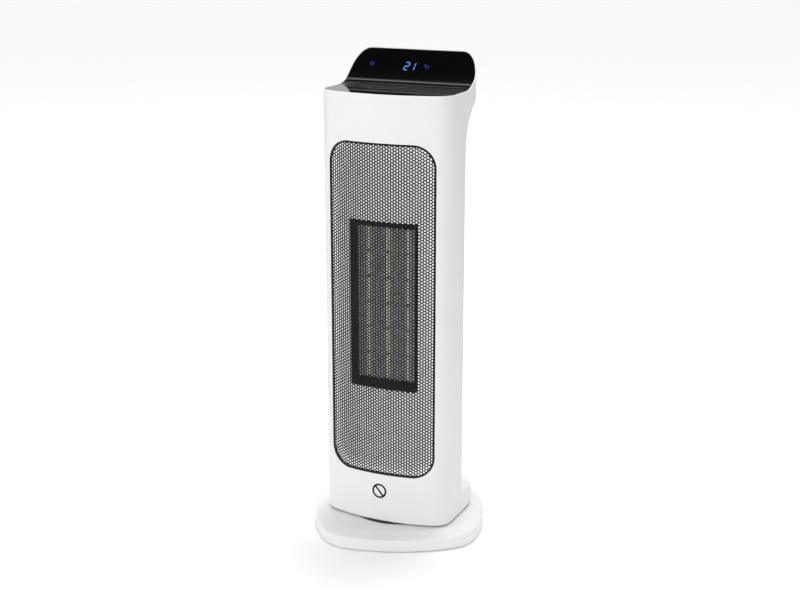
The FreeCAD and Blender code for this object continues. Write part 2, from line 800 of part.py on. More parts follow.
def intake_grille():
    """Slotted panel that closes the intake flush with the back, with a tab at the top and the bottom."""
    body = new_body("intake_grille")
    sketch = new_sketch(body, "intake_panel", "XZ", "-back_reach")
    inner = "- fit"
    rounded_rectangle(
        sketch,
        f"intake_half_width {inner}",
        "intake_bottom + fit",
        "intake_top - fit",
        f"intake_corner {inner}",
    )
    pad(body, sketch, "wall")
    slot = new_sketch(body, "intake_slot", "XZ", "-back_reach")
    low = "intake_bottom + slot_margin"
    x = ("-intake_half_width + slot_margin", "intake_half_width - slot_margin")
    rectangle(slot, x, (low, f"{low} + slot_height"))
    cutter = pocket(body, slot, "wall", backwards=True)
    pattern = body.newObject("PartDesign::LinearPattern", "Slots")
    pattern.Originals = [cutter]
    pattern.Direction = (slot, ["V_Axis"])
    room = number("intake_top - intake_bottom - 2 * slot_margin - slot_height")
    count = 1 + int(room / number("slot_pitch"))
    pattern.Occurrences = count
    bind(pattern, Length=f"{count - 1} * slot_pitch")
    body.Tip = pattern
    bars = new_sketch(body, "intake_bars", "XZ", "-back_reach")
    for middle in ("-intake_half_width / 3", "intake_half_width / 3"):
        x = (f"{middle} - 1.5", f"{middle} + 1.5")
        rectangle(bars, x, ("intake_bottom + slot_margin / 2", "intake_top - slot_margin / 2"))
    pad(body, bars, "wall")
    tabs = new_sketch(body, "intake_tabs", "XZ", "-back_reach + wall + fit / 2")
    for low, high in (("intake_bottom - 4", "intake_bottom + 5"), ("intake_top - 5", "intake_top + 4")):
        rectangle(tabs, ("-intake_half_width / 2", "intake_half_width / 2"), (low, high))
    pad(body, tabs, "1.5")
    necks = new_sketch(body, "intake_necks", "XZ", "-back_reach + wall")
    for low, high in (
        ("intake_bottom + 1", "intake_bottom + 5"),
        ("intake_top - 5", "intake_top - 1"),
    ):
        rectangle(necks, ("-intake_half_width / 2", "intake_half_width / 2"), (low, high))
    pad(body, necks, "fit / 2")
    return body


def dust_filter():
    x = ("-intake_half_width + 2", "intake_half_width - 2")
    back = "back_reach - wall - fit / 2"
    z = ("intake_bottom + 6", "intake_top - 6")
    return block("dust_filter", x, (f"{back} - filter_thickness", back), z)


# ---- the front: mesh, its black border, and the white baffle with its window ----


def mesh_frame():
    outer = grille_shape("mesh_frame_outside", "-fit", "-front_reach - 5", "-front_reach / 3")
    inner = grille_shape("mesh_frame_inside", "-fit - mesh_frame_width", "-front_reach - 6", "0")
    span = ("opening_bottom - 5", "opening_top + 5")
    band = skin("mesh_frame_band", "mesh_frame_inset", "mesh_frame_depth", *span)
    return common("mesh_frame", band, cut("mesh_frame_ring", outer, inner))


def front_mesh():
    span = ("opening_bottom - 5", "opening_top + 5")
    band = skin("mesh_band", "mesh_inset", "mesh_thickness", *span)
    area = grille_shape("mesh_area", "-fit - mesh_frame_width", "-front_reach - 6", "-front_reach / 3")
    return common("front_mesh", band, area)


def baffle_plate():
    """Plate with the heater's window, and a wall round it that meets the mesh frame."""
    span = ("opening_bottom - 12", "opening_top + 12")
    band = skin("baffle_band", "baffle_inset", "baffle_thickness", *span)
    area = grille_shape("baffle_area", "baffle_overlap", "-front_reach", "-front_reach / 3")
    x = ("-window_half_width", "window_half_width")
    window = block("window", x, ("-2 * front_reach", "0"), ("window_bottom", "window_top"))
    plate = cut("baffle_sheet", common("baffle_whole", band, area), window)
    frame_back = "mesh_frame_inset + mesh_frame_depth"
    height = ("opening_bottom - 5", "opening_top + 5")
    deep = f"baffle_inset + baffle_thickness / 2 - ({frame_back})"
    wall = skin("baffle_wall_band", frame_back, deep, *height)
    outer = grille_shape("baffle_wall_outside", "-fit", "-front_reach - 5", "-front_reach / 3")
    inner = grille_shape("baffle_wall_inside", "-fit - mesh_frame_width", "-front_reach - 6", "0")
    return fuse("baffle_plate", plate, common("baffle_wall", wall, cut("baffle_ring", outer, inner)))


# ---- the ceramic heater block ----

core_half = "(3 * element_pitch / 2 + plate_thickness / 2)"
core_low = "window_bottom + core_border"
core_high = "window_top - core_border"
core_depth = ("-core_front", "-core_back")


def heater_frame():
    lap = "heater_frame_lap"
    x = (f"-window_half_width - {lap}", f"window_half_width + {lap}")
    y = ("-heater_frame_front", "-heater_frame_back")
    outer = block("heater_frame_outside", x, y, (f"window_bottom - {lap}", f"window_top + {lap}"))
    x = (f"-{core_half} - fit", f"{core_half} + fit")
    y = ("-heater_frame_front - 1", "-heater_frame_back + 1")
    inner = block("heater_frame_inside", x, y, (f"{core_low} - fit", f"{core_high} + fit"))
    return cut("heater_frame", outer, inner)


def heater_stones():
    """Ceramic heating stones, in three columns of as many as fit the height."""
    count = int(number(f"({core_high} - ({core_low})) / stone_height"))
    gap = f"(({core_high}) - ({core_low}) - {count} * stone_height) / {count}"
    stones = []
    for column in (-1, 0, 1):
        x = [f"{column} * element_pitch + {side} * element_width / 2" for side in sides]
        for step in range(count):
            low = f"{core_low} + {gap} / 2 + {step} * (stone_height + {gap})"
            z = (low, f"{low} + stone_height")
            stones.append(block("stone", x, ("-core_front + 1", "-core_back - 1"), z))
    return group("heater_stones", stones)


def heater_plates():
    """Thin aluminium plates between the fin strips."""
    plates = []
    for line in (-3, -1, 1, 3):
        x = [f"{line} * element_pitch / 2 + {side} * plate_thickness / 2" for side in sides]
        plates.append(block("plate", x, core_depth, (core_low, core_high)))
    return group("heater_plates", plates)


def heater_fins():
    """Six strips of folded fin, drawn as plain strips."""
    strips = []
    for column in (-1, 0, 1):
        for side in sides:
            near = f"{column} * element_pitch + {side} * element_width / 2"
            far = f"{column} * element_pitch + {side} * (element_pitch - plate_thickness) / 2"
            x = (far, near) if side < 0 else (near, far)
            y = ("-core_front + 0.4", "-core_back - 0.4")
            strips.append(block("fin_strip", x, y, (core_low, core_high)))
    return group("heater_fins", strips)


def heater_terminals():
    """Flat blade terminals under the heater, one for each column of stones and a common one."""
    tabs = []
    for line in (-2, -1, 1, 2):
        middle = f"{line} * element_pitch / 2"
        x = (f"{middle} - terminal_width / 2", f"{middle} + terminal_width / 2")
        y = ("-heater_frame_back", "-heater_frame_back + terminal_thickness")
        low = "window_bottom - heater_frame_lap"
        tabs.append(block("terminal", x, y, (f"{low} - terminal_drop", f"{low} + 3")))
    return group("heater_terminals", tabs)


def heater_safety():
    """A disc thermostat over the heater, and a thermal fuse beside it."""
    base = "window_top + heater_frame_lap"
    start = ("-20", "-heater_frame_back - 12", base)
    disc = fuse(
        "thermal_cutout",
        rod("cutout_cap", "8", start, "4"),
        rod("cutout_body", "6.5", ("-20", "-heater_frame_back - 12", f"{base} + 4"), "7"),
    )
    start = ("8", "-heater_frame_back - 12", f"{base} + 2")
    fuse_link = rod("thermal_fuse", "2", start, "16", along_x)
    return disc, fuse_link


# ---- the blower: a tall cross-flow wheel in its own casing ----

casing_low = "window_bottom - fit"
casing_high = "window_top + fit"
fan_low = f"{casing_low} + fan_end_gap"
fan_high = f"{casing_high} - fan_end_gap"
casing_back = "fan_radius + fan_gap"
casing_left = "-window_half_width + 2"
casing_front = "-heater_frame_back + terminal_thickness + fit"


def blower_casing():
    """Wall that leads the air round the wheel and forwards into the heater."""
    body = new_body("blower_casing")
    sketch = new_sketch(body, "casing_profile", "XY", casing_low)
    back, left, front = number(casing_back), number(casing_left), number(casing_front)
    wall, bend, right = number("casing_wall"), number("casing_bend"), number("fan_offset + 4")
    centre = (left + bend, back - bend)
    pieces = [
        Part.LineSegment(Vector(right, back + wall), Vector(centre[0], back + wall)),
        arc(centre, bend + wall, 90, 180),
        Part.LineSegment(Vector(left - wall, centre[1]), Vector(left - wall, front)),
        Part.LineSegment(Vector(left - wall, front), Vector(left, front)),
        Part.LineSegment(Vector(left, front), Vector(left, centre[1])),
        arc(centre, bend, 90, 180),
        Part.LineSegment(Vector(centre[0], back), Vector(right, back)),
        Part.LineSegment(Vector(right, back), Vector(right, back + wall)),
    ]
    for piece in pieces:
        sketch.addGeometry(piece, False)
    for one, a, other, b in ((0, 2, 1, 1), (1, 2, 2, 1), (4, 2, 5, 2), (5, 1, 6, 1)):
        sketch.addConstraint(Sketcher.Constraint("Tangent", one, a, other, b))
    for one, other in ((2, 3), (3, 4), (6, 7), (7, 0)):
        sketch.addConstraint(Sketcher.Constraint("Coincident", one, 2, other, 1))
    for index, radius in ((1, "casing_bend + casing_wall"), (5, "casing_bend")):
        rule(sketch, radius, "Radius", index)
        centre_rule(sketch, index, f"{casing_left} + casing_bend", f"{casing_back} - casing_bend")
    for index, way in ((0, "Horizontal"), (2, "Vertical"), (3, "Horizontal"), (7, "Vertical")):
        sketch.addConstraint(Sketcher.Constraint(way, index))
    rule(sketch, "fan_offset + 4", "DistanceX", -1, 1, 0, 1)
    rule(sketch, casing_front, "DistanceY", -1, 1, 3, 1)
    pad(body, sketch, f"{casing_high} - ({casing_low})")
    return body


def blower_tongue():
    """Upright lip beside the wheel that keeps the blown air from turning back."""
    body = new_body("blower_tongue")
    sketch = new_sketch(body, "tongue_profile", "XY", casing_low)
    front = casing_front
    right = "window_half_width - 2"
    tip = "(fan_radius + fan_gap + 0.4)"
    spots = [
        (right, front),
        (right, f"{front} + casing_wall"),
        (f"fan_offset + {tip} * cos(38)", f"-{tip} * sin(38)"),
        (f"fan_offset + {tip} * cos(43)", f"-{tip} * sin(43)"),
        (f"{right} - 4", front),
    ]
    points = [Vector(number(x), number(y)) for x, y in spots]
    edges = [Part.LineSegment(a, b) for a, b in zip(points, points[1:] + points[:1])]
    loop(sketch, edges, ["Coincident"] * len(edges))
    for index, (x, y) in enumerate(spots):
        rule(sketch, x, "DistanceX", -1, 1, index, 1)
        rule(sketch, y, "DistanceY", -1, 1, index, 1)
    pad(body, sketch, f"{casing_high} - ({casing_low})")
    return body


def end_plates():
    """Plates that close the casing; the lower one carries the motor and the upper one the bearing."""
    x = (f"{casing_left} - casing_wall", "window_half_width - 2")
    y = (casing_front, f"{casing_back} + casing_wall")
    hole = "fan_offset", "0"
    lower = block("lower_end_sheet", x, y, (f"{casing_low} - end_plate", casing_low))
    upper = block("upper_end_sheet", x, y, (casing_high, f"{casing_high} + end_plate"))
    tools = [rod("lower_end_hole", "bearing_radius", (*hole, f"{casing_low} - 10"), "20")]
    for side in sides:
        start = (f"fan_offset + {side} * (fan_motor_radius - 5)", "0", f"{casing_low} - 10")
        tools.append(rod("motor_screw_hole", clear_hole, start, "20"))
    bearing_hole = rod("upper_end_hole", "bearing_radius", (*hole, f"{casing_high} - 10"), "20")
    return cut("lower_end_plate", lower, *tools), cut("upper_end_plate", upper, bearing_hole)


motor_top = f"{casing_low} - end_plate - fan_motor_gap"
motor_bottom = f"{motor_top} - fan_motor_length"


def fan_motor():
    """Motor under the casing, held off the lower plate by two posts."""
    axis = ("fan_offset", "0")
    pieces = [rod("motor_can", "fan_motor_radius", (*axis, motor_bottom), "fan_motor_length")]
    pieces.append(rod("motor_nose", "7", (*axis, motor_top), "3"))
    pilots = [rod("motor_bore", "shaft_radius + running_fit", (*axis, f"{motor_bottom} + 6"), "80")]
    for side in sides:
        spot = (f"fan_offset + {side} * (fan_motor_radius - 5)", "0")
        pieces.append(rod("motor_post", "3.6", (*spot, f"{motor_top} - 1"), "fan_motor_gap + 1"))
        pilots.append(rod("motor_pilot", pilot, (*spot, f"{motor_top} + 1"), "fan_motor_gap"))
    return cut("fan_motor", fuse("motor_solid", *pieces), *pilots)


def motor_screws():
    top = f"{casing_low} + flat_head_height"
    starts = [(f"fan_offset + {side} * (fan_motor_radius - 5)", "0", top) for side in sides]
    length = "flat_head_height + end_plate + fan_motor_gap - 2"
    return screws("motor_screws", starts, length, downward, flat_head)


def top_bearing():
    start = ("fan_offset", "0", f"{casing_high} - 0.5")
    outer = rod("bearing_outside", "bearing_radius", start, "bearing_length")
    inner = rod("bearing_bore", "shaft_radius + running_fit", ("fan_offset", "0", casing_high + " - 5"), "20")
    return cut("top_bearing", outer, inner)


def fan_wheel():
    """Five discs joined by a ring of curved blades."""
    body = new_body("fan_wheel")
    body.Placement = Placement(Vector(number("fan_offset"), 0, 0), upright)
    height = f"({fan_high}) - ({fan_low})"
    discs = 5
    step = f"({height} - fan_disc) / {discs - 1}"
    ring = new_sketch(body, "wheel_disc", "XY", fan_low)
    circle(ring, "0", "0", "fan_radius")
    pad(body, ring, "fan_disc")
    blade = new_sketch(body, "wheel_blade", "XY", fan_low)
    outer, depth, thick = (number(n) for n in ("fan_radius - 0.3", "blade_depth", "blade_thickness"))
    curve = depth * 0.8
    centre = (outer - (curve + thick) * math.cos(math.radians(40)), -curve * 0.55)
    reach = [arc(centre, curve + grow, 40, 140) for grow in (0, thick)]
    caps = [
        Part.LineSegment(reach[0].EndPoint, reach[1].EndPoint),
        Part.LineSegment(reach[1].StartPoint, reach[0].StartPoint),
    ]
    for piece in (*reach, *caps):
        blade.addGeometry(piece, False)
    for one, a, other, b in ((0, 2, 2, 1), (2, 2, 1, 2), (1, 1, 3, 1), (3, 2, 0, 1)):
        blade.addConstraint(Sketcher.Constraint("Coincident", one, a, other, b))
    for index, radius in ((0, "blade_depth * 0.8"), (1, "blade_depth * 0.8 + blade_thickness")):
        rule(blade, radius, "Radius", index)
        across = "fan_radius - 0.3 - (blade_depth * 0.8 + blade_thickness) * cos(40)"
        centre_rule(blade, index, across, "-blade_depth * 0.44")
    blades = pad(body, blade, height)
    doc.recompute()
    pattern = body.newObject("PartDesign::PolarPattern", "Blades")
    pattern.Originals = [blades]
    pattern.Axis = (blade, ["N_Axis"])
    pattern.Angle = 360
    pattern.Occurrences = 24
    body.Tip = pattern
    for index in range(1, discs):
        disc = new_sketch(body, f"wheel_disc_{index}", "XY", f"{fan_low} + {index} * {step}")
        circle(disc, "0", "0", "fan_radius")
        pad(body, disc, "fan_disc")
    hole = new_sketch(body, "wheel_bore", "XY")
    circle(hole, "0", "0", "shaft_radius")
    pocket(body, hole, both_ways=True)
    return body


def fan_shaft():
    start = ("fan_offset", "0", f"{motor_bottom} + 8")
    length = f"{casing_high} + bearing_length + 1 - ({motor_bottom} + 8)"
    return rod("fan_shaft", "shaft_radius", start, length)


# ---- gears ----


def gear_face(teeth, module, backlash):
    """An involute gear's outline, its first tooth pointing along +X."""
    pitch = teeth * module / 2
    pressure = math.radians(20)
    base = pitch * math.cos(pressure)
    tip, root = pitch + 0.95 * module, pitch - 1.25 * module
    half_tooth = math.pi / (2 * teeth) - backlash / (2 * pitch)
    flank_turn = half_tooth + math.tan(pressure) - pressure

    def on_flank(radius):
        roll = math.acos(min(1.0, base / radius))
        return flank_turn - (math.tan(roll) - roll)

    def spot(radius, angle):
        return Vector(radius * math.cos(angle), radius * math.sin(angle))

    start = max(base, root + 0.05)
    radii = [start + (tip - start) * step / 4 for step in range(5)]
    edges = []
    for tooth in range(teeth):
        turn = 2 * math.pi * tooth / teeth
        rising = [spot(radius, turn - on_flank(radius)) for radius in radii]
        falling = [spot(radius, turn + on_flank(radius)) for radius in reversed(radii)]
        entry, leave = spot(root, turn - on_flank(start)), spot(root, turn + on_flank(start))
        following = spot(root, turn + 2 * math.pi / teeth - on_flank(start))
        up, down = Part.BSplineCurve(), Part.BSplineCurve()
        up.interpolate(rising)
        down.interpolate(falling)
        edges.append(Part.makeLine(entry, rising[0]))
        edges.append(up.toShape())
        edges.append(Part.Arc(rising[-1], spot(tip, turn), falling[0]).toShape())
        edges.append(down.toShape())
        edges.append(Part.makeLine(falling[-1], leave))
        edges.append(Part.Arc(leave, spot(root, turn + math.pi / teeth), following).toShape())
    return Part.Face(Part.Wire(edges))


def swivel_gear():
    """Fixed on the turret; its teeth also hold the hub down."""
    item = doc.addObject("Part::Feature", "swivel_gear")
    teeth, thick = int(number("gear_teeth")), number("gear_thickness")
    half_tooth = 180 / teeth
    face = gear_face(teeth, number("gear_module"), number("gear_backlash"))
    shape = face.extrude(Vector(0, 0, thick))
    shape = shape.cut(Part.makeCylinder(number("turret_bore"), thick))
    for turn in range(4):
        hole = Part.makeCylinder(number(clear_hole), thick)
        hole.translate(Vector((number("turret_bore + turret_radius") / 2), 0, 0))
        hole.rotate(Vector(), Vector(0, 0, 1), 45 + 90 * turn + number("rest_turn") - half_tooth)
        shape = shape.cut(hole)
    item.Shape = shape
    item.Placement = Placement(Vector(0, 0, number("turret_top")), Rotation(Vector(0, 0, 1), half_tooth))
    return item


gear_distance = "gear_module * (gear_teeth + pinion_teeth) / 2"


def drive_pinion():
    """Its tooth points at the gear's gap, on the side of the tower's front."""
    item = doc.addObject("Part::Feature", "drive_pinion")
    teeth, thick = int(number("pinion_teeth")), number("gear_thickness")
    face = gear_face(teeth, number("gear_module"), number("gear_backlash"))
    shape = face.extrude(Vector(0, 0, thick))
    shaft = number("swivel_motor_lift - turret_top + swivel_motor_height / 2")
    shape = shape.fuse(Part.makeCylinder(number("pinion_shaft"), shaft))
    shape = shape.fuse(Part.makeCylinder(4, number("swivel_motor_lift - turret_top") - 1))
    item.Shape = shape.removeSplitter()
    spot = Vector(0, -number(gear_distance), number("turret_top"))
    item.Placement = Placement(spot, Rotation(Vector(0, 0, 1), 90))
    return item


def swivel_motor():
    """Flat gear motor standing on two pillars of the tower's floor."""
    axis = ("0", f"-({gear_distance})")
    lift = "swivel_motor_lift"
    x = ("-swivel_ear_offset - 4", "swivel_ear_offset + 4")
    y = (f"{axis[1]} - 4", f"{axis[1]} + 4")
    can = rod("swivel_can", "swivel_motor_radius", (*axis, lift), "swivel_motor_height")
    ears = block("swivel_ears", x, y, (lift, f"{lift} + 1"))
    start = (*axis, f"{lift} - 1")
    tools = [rod("swivel_bore", "pinion_shaft + running_fit", start, "swivel_motor_height - 3")]
    for side in sides:
        start = (f"{side} * swivel_ear_offset", axis[1], f"{lift} - 5")
        tools.append(rod("ear_hole", clear_hole, start, "20"))
    return cut("swivel_motor", fuse("swivel_motor_solid", can, ears), *tools)


def swivel_screws():
    top = "swivel_motor_lift + 1 + screw_head_height"
    starts = [(f"{side} * swivel_ear_offset", f"-({gear_distance})", top) for side in sides]
    head = ("screw_head_radius - 0.5", "screw_head_height")
    return screws("swivel_motor_screws", starts, "screw_head_height + 8", downward, head)


# ---- tower floor ----

def tower_floor():
    """Closes the tower's foot; its hub turns on the base's turret."""
    body = new_body("tower_floor")
    sketch = tower_outline(body, "floor_plate", "wall + fit", "foot_reach", "tower_bottom")
    pad(body, sketch, "floor_thickness")
    hub = new_sketch(body, "hub", "XY", "tower_bottom")
    circle(hub, "0", "0", "hub_radius - 3")
    pad(body, hub, "turret_top - hub_gap - tower_bottom")
    pillars = new_sketch(body, "motor_pillars", "XY", "tower_bottom")
    for side in sides:
        circle(pillars, f"{side} * swivel_ear_offset", f"-({gear_distance})", "3.4")
    pad(body, pillars, "swivel_motor_lift - tower_bottom")
    bore = new_sketch(body, "hub_bore", "XY")
    circle(bore, "0", "0", "turret_radius + running_fit")
    pocket(body, bore, both_ways=True)
    pilots = new_sketch(body, "pillar_pilots", "XY", "swivel_motor_lift")
    for side in sides:
        circle(pilots, f"{side} * swivel_ear_offset", f"-({gear_distance})", pilot)
    pocket(body, pilots, "9")
    holes = new_sketch(body, "floor_holes", "XY")
    for x, y in floor_screw_spots:
        circle(holes, x, y, clear_hole)
    pocket(body, holes, both_ways=True)
    return body


def floor_screws():
    starts = [(x, y, "tower_bottom - flat_head_height") for x, y in floor_screw_spots]
    length = "flat_head_height + floor_thickness + floor_boss_height - 3"
    return screws("floor_screws", starts, length, upright, flat_head)


# ---- base ----


def base_outline(body, name, inset, lift):
    """A square with bowed sides and large round corners, a fixed distance inside the base's edge."""
    sketch = new_sketch(body, name, "XY", lift)
    gap = number(inset)
    across, along, corner = (number(n) for n in ("base_corner_across", "base_corner_along", "base_corner"))
    half_width, half_depth = number("base_half_width"), number("base_half_depth")

    def bow(reach, offset):
        return f"(({offset})^2 + ({reach})^2 - base_corner^2) / (2 * (({reach}) - base_corner))"

    wide = bow("base_half_depth - base_corner_along", "base_corner_across")
    deep = bow("base_half_width - base_corner_across", "base_corner_along")
    wide_radius, deep_radius = number(wide), number(deep)
    wide_swing = math.degrees(math.asin(across / (wide_radius - corner)))
    deep_swing = math.degrees(math.asin(along / (deep_radius - corner)))
    small = corner - gap
    pieces = [
        arc((0, wide_radius - half_depth), wide_radius - gap, 270 - wide_swing, 270 + wide_swing),
        arc((across, -along), small, 270 + wide_swing, 360 - deep_swing),
        arc((half_width - deep_radius, 0), deep_radius - gap, -deep_swing, deep_swing),
        arc((across, along), small, deep_swing, 90 - wide_swing),
        arc((0, half_depth - wide_radius), wide_radius - gap, 90 - wide_swing, 90 + wide_swing),
        arc((-across, along), small, 90 + wide_swing, 180 - deep_swing),
        arc((deep_radius - half_width, 0), deep_radius - gap, 180 - deep_swing, 180 + deep_swing),
        arc((-across, -along), small, 180 + deep_swing, 270 - wide_swing),
    ]
    loop(sketch, pieces, ["Tangent"] * 8)
    for index, x, y in ((1, 1, -1), (3, 1, 1), (5, -1, 1), (7, -1, -1)):
        rule(sketch, f"base_corner - ({inset})", "Radius", index)
        centre_rule(sketch, index, f"{x} * base_corner_across", f"{y} * base_corner_along")
    for index in (0, 4):
        rule(sketch, f"{wide} - ({inset})", "Radius", index)
    for index in (2, 6):
        rule(sketch, f"{deep} - ({inset})", "Radius", index)
    return sketch


def turned(item):
    """The base and all that is fixed to it, turned about the swivel axis."""
    turn = Placement(Vector(), Rotation(Vector(0, 0, 1), number("rest_turn")))
    item.Placement = turn.multiply(item.Placement)
    return item


def base_cover():
    body = new_body("base_cover")
    wall = base_outline(body, "cover_wall", "0", "foot_lift")
    pad(body, wall, "base_wall_top - foot_lift")
    low = base_outline(body, "cover_edge", "0", "base_wall_top")
    high = base_outline(body, "cover_shoulder", "base_shoulder", "base_top")
    roof = body.newObject("PartDesign::AdditiveLoft", "Roof")
    roof.Profile = low
    roof.Sections = [high]
    roof.Ruled = True
    doc.recompute()
    edges = []
    for index, edge in enumerate(roof.Shape.Edges, start=1):
        box = edge.BoundBox
        level = box.ZLength < 0.01 and box.XLength + box.YLength > 1
        if level and abs(box.ZMin - number("base_wall_top")) < 0.01:
            edges.append(f"Edge{index}")
    brow = body.newObject("PartDesign::Fillet", "Brow")
    brow.Base = (roof, edges)
    bind(brow, Radius="base_round")
    inner_top = "base_wall_top - base_wall"
    hollow = base_outline(body, "cover_hollow", "base_wall", "foot_lift")
    pocket(body, hollow, f"{inner_top} - foot_lift", backwards=True)
    low = base_outline(body, "hollow_edge", "base_wall", inner_top)
    high = base_outline(body, "hollow_shoulder", "base_wall + base_shoulder", "base_top - base_wall")
    ceiling = body.newObject("PartDesign::SubtractiveLoft", "Ceiling")
    ceiling.Profile = low
    ceiling.Sections = [high]
    ceiling.Ruled = True
    turret = new_sketch(body, "turret", "XY", "base_top - base_wall")
    circle(turret, "0", "0", "turret_radius")
    pad(body, turret, "turret_top - base_top + base_wall")
    bosses = new_sketch(body, "cover_bosses", "XY", "foot_lift + base_plate")
    for x, y in corner_spots:
        circle(bosses, f"{x} * base_screw_across", f"{y} * base_screw_along", "base_boss_radius")
    pad(body, bosses, "base_top - base_wall / 2 - foot_lift - base_plate")
    bore = new_sketch(body, "turret_hole", "XY")
    circle(bore, "0", "0", "turret_bore")
    pocket(body, bore, both_ways=True)
    pilots = new_sketch(body, "cover_pilots", "XY", "foot_lift")
    for x, y in corner_spots:
        circle(pilots, f"{x} * base_screw_across", f"{y} * base_screw_along", pilot)
    pocket(body, pilots, "base_plate + 8", backwards=True)
    gear_pilots = new_sketch(body, "gear_pilots", "XY", "turret_top")
    for x, y in corner_spots:
        spot = "(turret_bore + turret_radius) / 2 * cos(45)"
        circle(gear_pilots, f"{x} * {spot}", f"{y} * {spot}", pilot)
    pocket(body, gear_pilots, "8")
    return turned(body)


def base_plate():
    body = new_body("base_plate")
    sketch = base_outline(body, "plate", "base_wall + fit", "foot_lift")
    pad(body, sketch, "base_plate")
    holes = new_sketch(body, "plate_holes", "XY", "foot_lift")
    for x, y in corner_spots:
        circle(holes, f"{x} * base_screw_across", f"{y} * base_screw_along", clear_hole)
    circle(holes, "0", "0", "turret_bore")
    pocket(body, holes, both_ways=True)
    return turned(body)


def rubber_feet():
    feet = [
        rod(
            "rubber_foot",
            "rubber_foot_radius",
            (f"{x} * rubber_foot_across", f"{y} * rubber_foot_along", "0"),
            "foot_lift",
        )
        for x, y in corner_spots
    ]
    return turned(group("rubber_feet", feet))


def base_screws():
    low = "foot_lift - flat_head_height"
    starts = [(f"{x} * base_screw_across", f"{y} * base_screw_along", low) for x, y in corner_spots]
    length = "flat_head_height + base_plate + 7"
    return turned(screws("base_screws", starts, length, upright, flat_head))


def gear_screws():
    spot = "(turret_bore + turret_radius) / 2 * cos(45)"
    top = "turret_top + gear_thickness + flat_head_height"
    starts = [(f"{x} * {spot}", f"{y} * {spot}", top) for x, y in corner_spots]
    length = "flat_head_height + gear_thickness + 7"
    return turned(screws("gear_screws", starts, length, downward, flat_head))


def slide_ring():
    height = "tower_bottom - slide_gap - base_top"
    outer = rod("slide_ring_outside", "slide_ring_outer", ("0", "0", "base_top"), height)
    inner = rod("slide_ring_inside", "slide_ring_inner", ("0", "0", "base_top - 1"), "10")
    return turned(cut("slide_ring", outer, inner))


# ---- control panel and electronics ----

slope_spot = Vector(
    0,
    number("display_along"),
    number(
        "deck_height + bend_radius - bend_radius * cos(slope_angle)"
        " + (display_along - bend_start - bend_radius * sin(slope_angle)) * tan(slope_angle)"
    ),
)
slope_turn = Rotation(Vector(1, 0, 0), number("slope_angle"))


def slope_block(label, x, up, depth):
    """A box in the slope's own directions: across, up the slope, and under its surface."""
    item = sized_box(label, x, up, depth)
    corner = Vector(number(x[0]), number(up[0]), -number(depth[1]))
    item.Placement = Placement(slope_spot, slope_turn).multiply(Placement(corner, upright))
    return item


def control_panel():
    """Glossy cover on the casing's ledge, over the deck, the bend and the slope."""
    band = side_extrusion("panel_band", ("panel_drop", "panel_drop + panel_thickness"))
    return common("control_panel", band, cover_area("panel_area", "rim_width + fit"))


def display_module():
    under = "panel_drop + panel_thickness"
    x = ("display_offset - display_width / 2", "display_offset + display_width / 2")
    up = ("-display_height / 2", "display_height / 2 - 3")
    return slope_block("display_module", x, up, (f"{under} + fit", f"{under} + fit + display_depth"))


def control_board():
    top = "panel_drop + panel_thickness + fit + display_depth"
    x = ("-control_board_width / 2", "control_board_width / 2")
    up = ("-control_board_height - 2", "-2")
    return slope_block("control_board", x, up, (top, f"{top} + board_thickness"))


def power_board():
    """Board with its relays, capacitor and terminal block, on four pillars of the back."""
    back = "back_reach - wall - power_board_gap"
    x = ("-power_board_width / 2 - 22", "power_board_width / 2 - 20")
    z = ("power_board_bottom", "power_board_bottom + power_board_height")
    sheet_part = block("power_sheet", x, (f"{back} - board_thickness", back), z)
    holes = []
    for across in ("-power_board_width / 2 - 18", "power_board_width / 2 - 24"):
        for height in ("power_board_bottom + 5", "power_board_bottom + power_board_height - 5"):
            start = (across, f"{back} - 10", height)
            holes.append(rod("power_hole", "screw_radius", start, "20", along_y))
    board = cut("power_board", sheet_part, *holes)
    front = f"{back} - board_thickness"
    relays = []
    for low in ("power_board_bottom + 12", "power_board_bottom + 32"):
        x = ("-power_board_width / 2 - 14", "-power_board_width / 2 + 5")
        relays.append(block("relay", x, (f"{front} - 15", front), (low, f"{low} + 15.5")))
    x = ("-14", "4")
    z = ("power_board_bottom + 14", "power_board_bottom + 40")
    capacitor = block("filter_capacitor", x, (f"{front} - 11", front), z)
    z = ("power_board_bottom + 50", "power_board_bottom + 60")
    terminals = block("terminal_block", ("-44", "-4"), (f"{front} - 12", front), z)
    return board, group("power_relays", relays), capacitor, terminals


def power_board_screws():
    start_y = "back_reach - wall - power_board_gap - board_thickness - screw_head_height"
    starts = [
        (x, start_y, z)
        for x in ("-power_board_width / 2 - 18", "power_board_width / 2 - 24")
        for z in ("power_board_bottom + 5", "power_board_bottom + power_board_height - 5")
    ]
    length = "screw_head_height + board_thickness + 5"
    return screws("power_board_screws", starts, length, along_y, ("2.4", "screw_head_height"), "1")


def housing_screws():
    """Screws through the back into the front's bosses, sunk in the back's corners."""
    starts = [
        (f"{side} * boss_offset", "8 + screw_head_height", height)
        for side in sides
        for height in boss_heights
    ]
    return screws("housing_screws", starts, "screw_head_height + 20", forward)


def temperature_sensor():
    """Small bead on a stalk in the intake air."""
    start = ("-60", "back_reach - wall - 14", "power_board_bottom + 90")
    stalk = rod("sensor_stalk", "1.2", start, "14", along_y)
    bead = rod("sensor_bead", "2.2", (start[0], "back_reach - wall - 18", start[2]), "5", along_y)
    return fuse("temperature_sensor", stalk, bead)


def tip_switch():
    """Cuts the power when the heater is tipped; it stands on the tower's floor."""
    z = (floor_top, f"{floor_top} + 16")
    return block("tip_switch", ("-64", "-46"), ("-12", "0"), z)


switch_spot = ("switch_offset", "foot_reach", "switch_height")


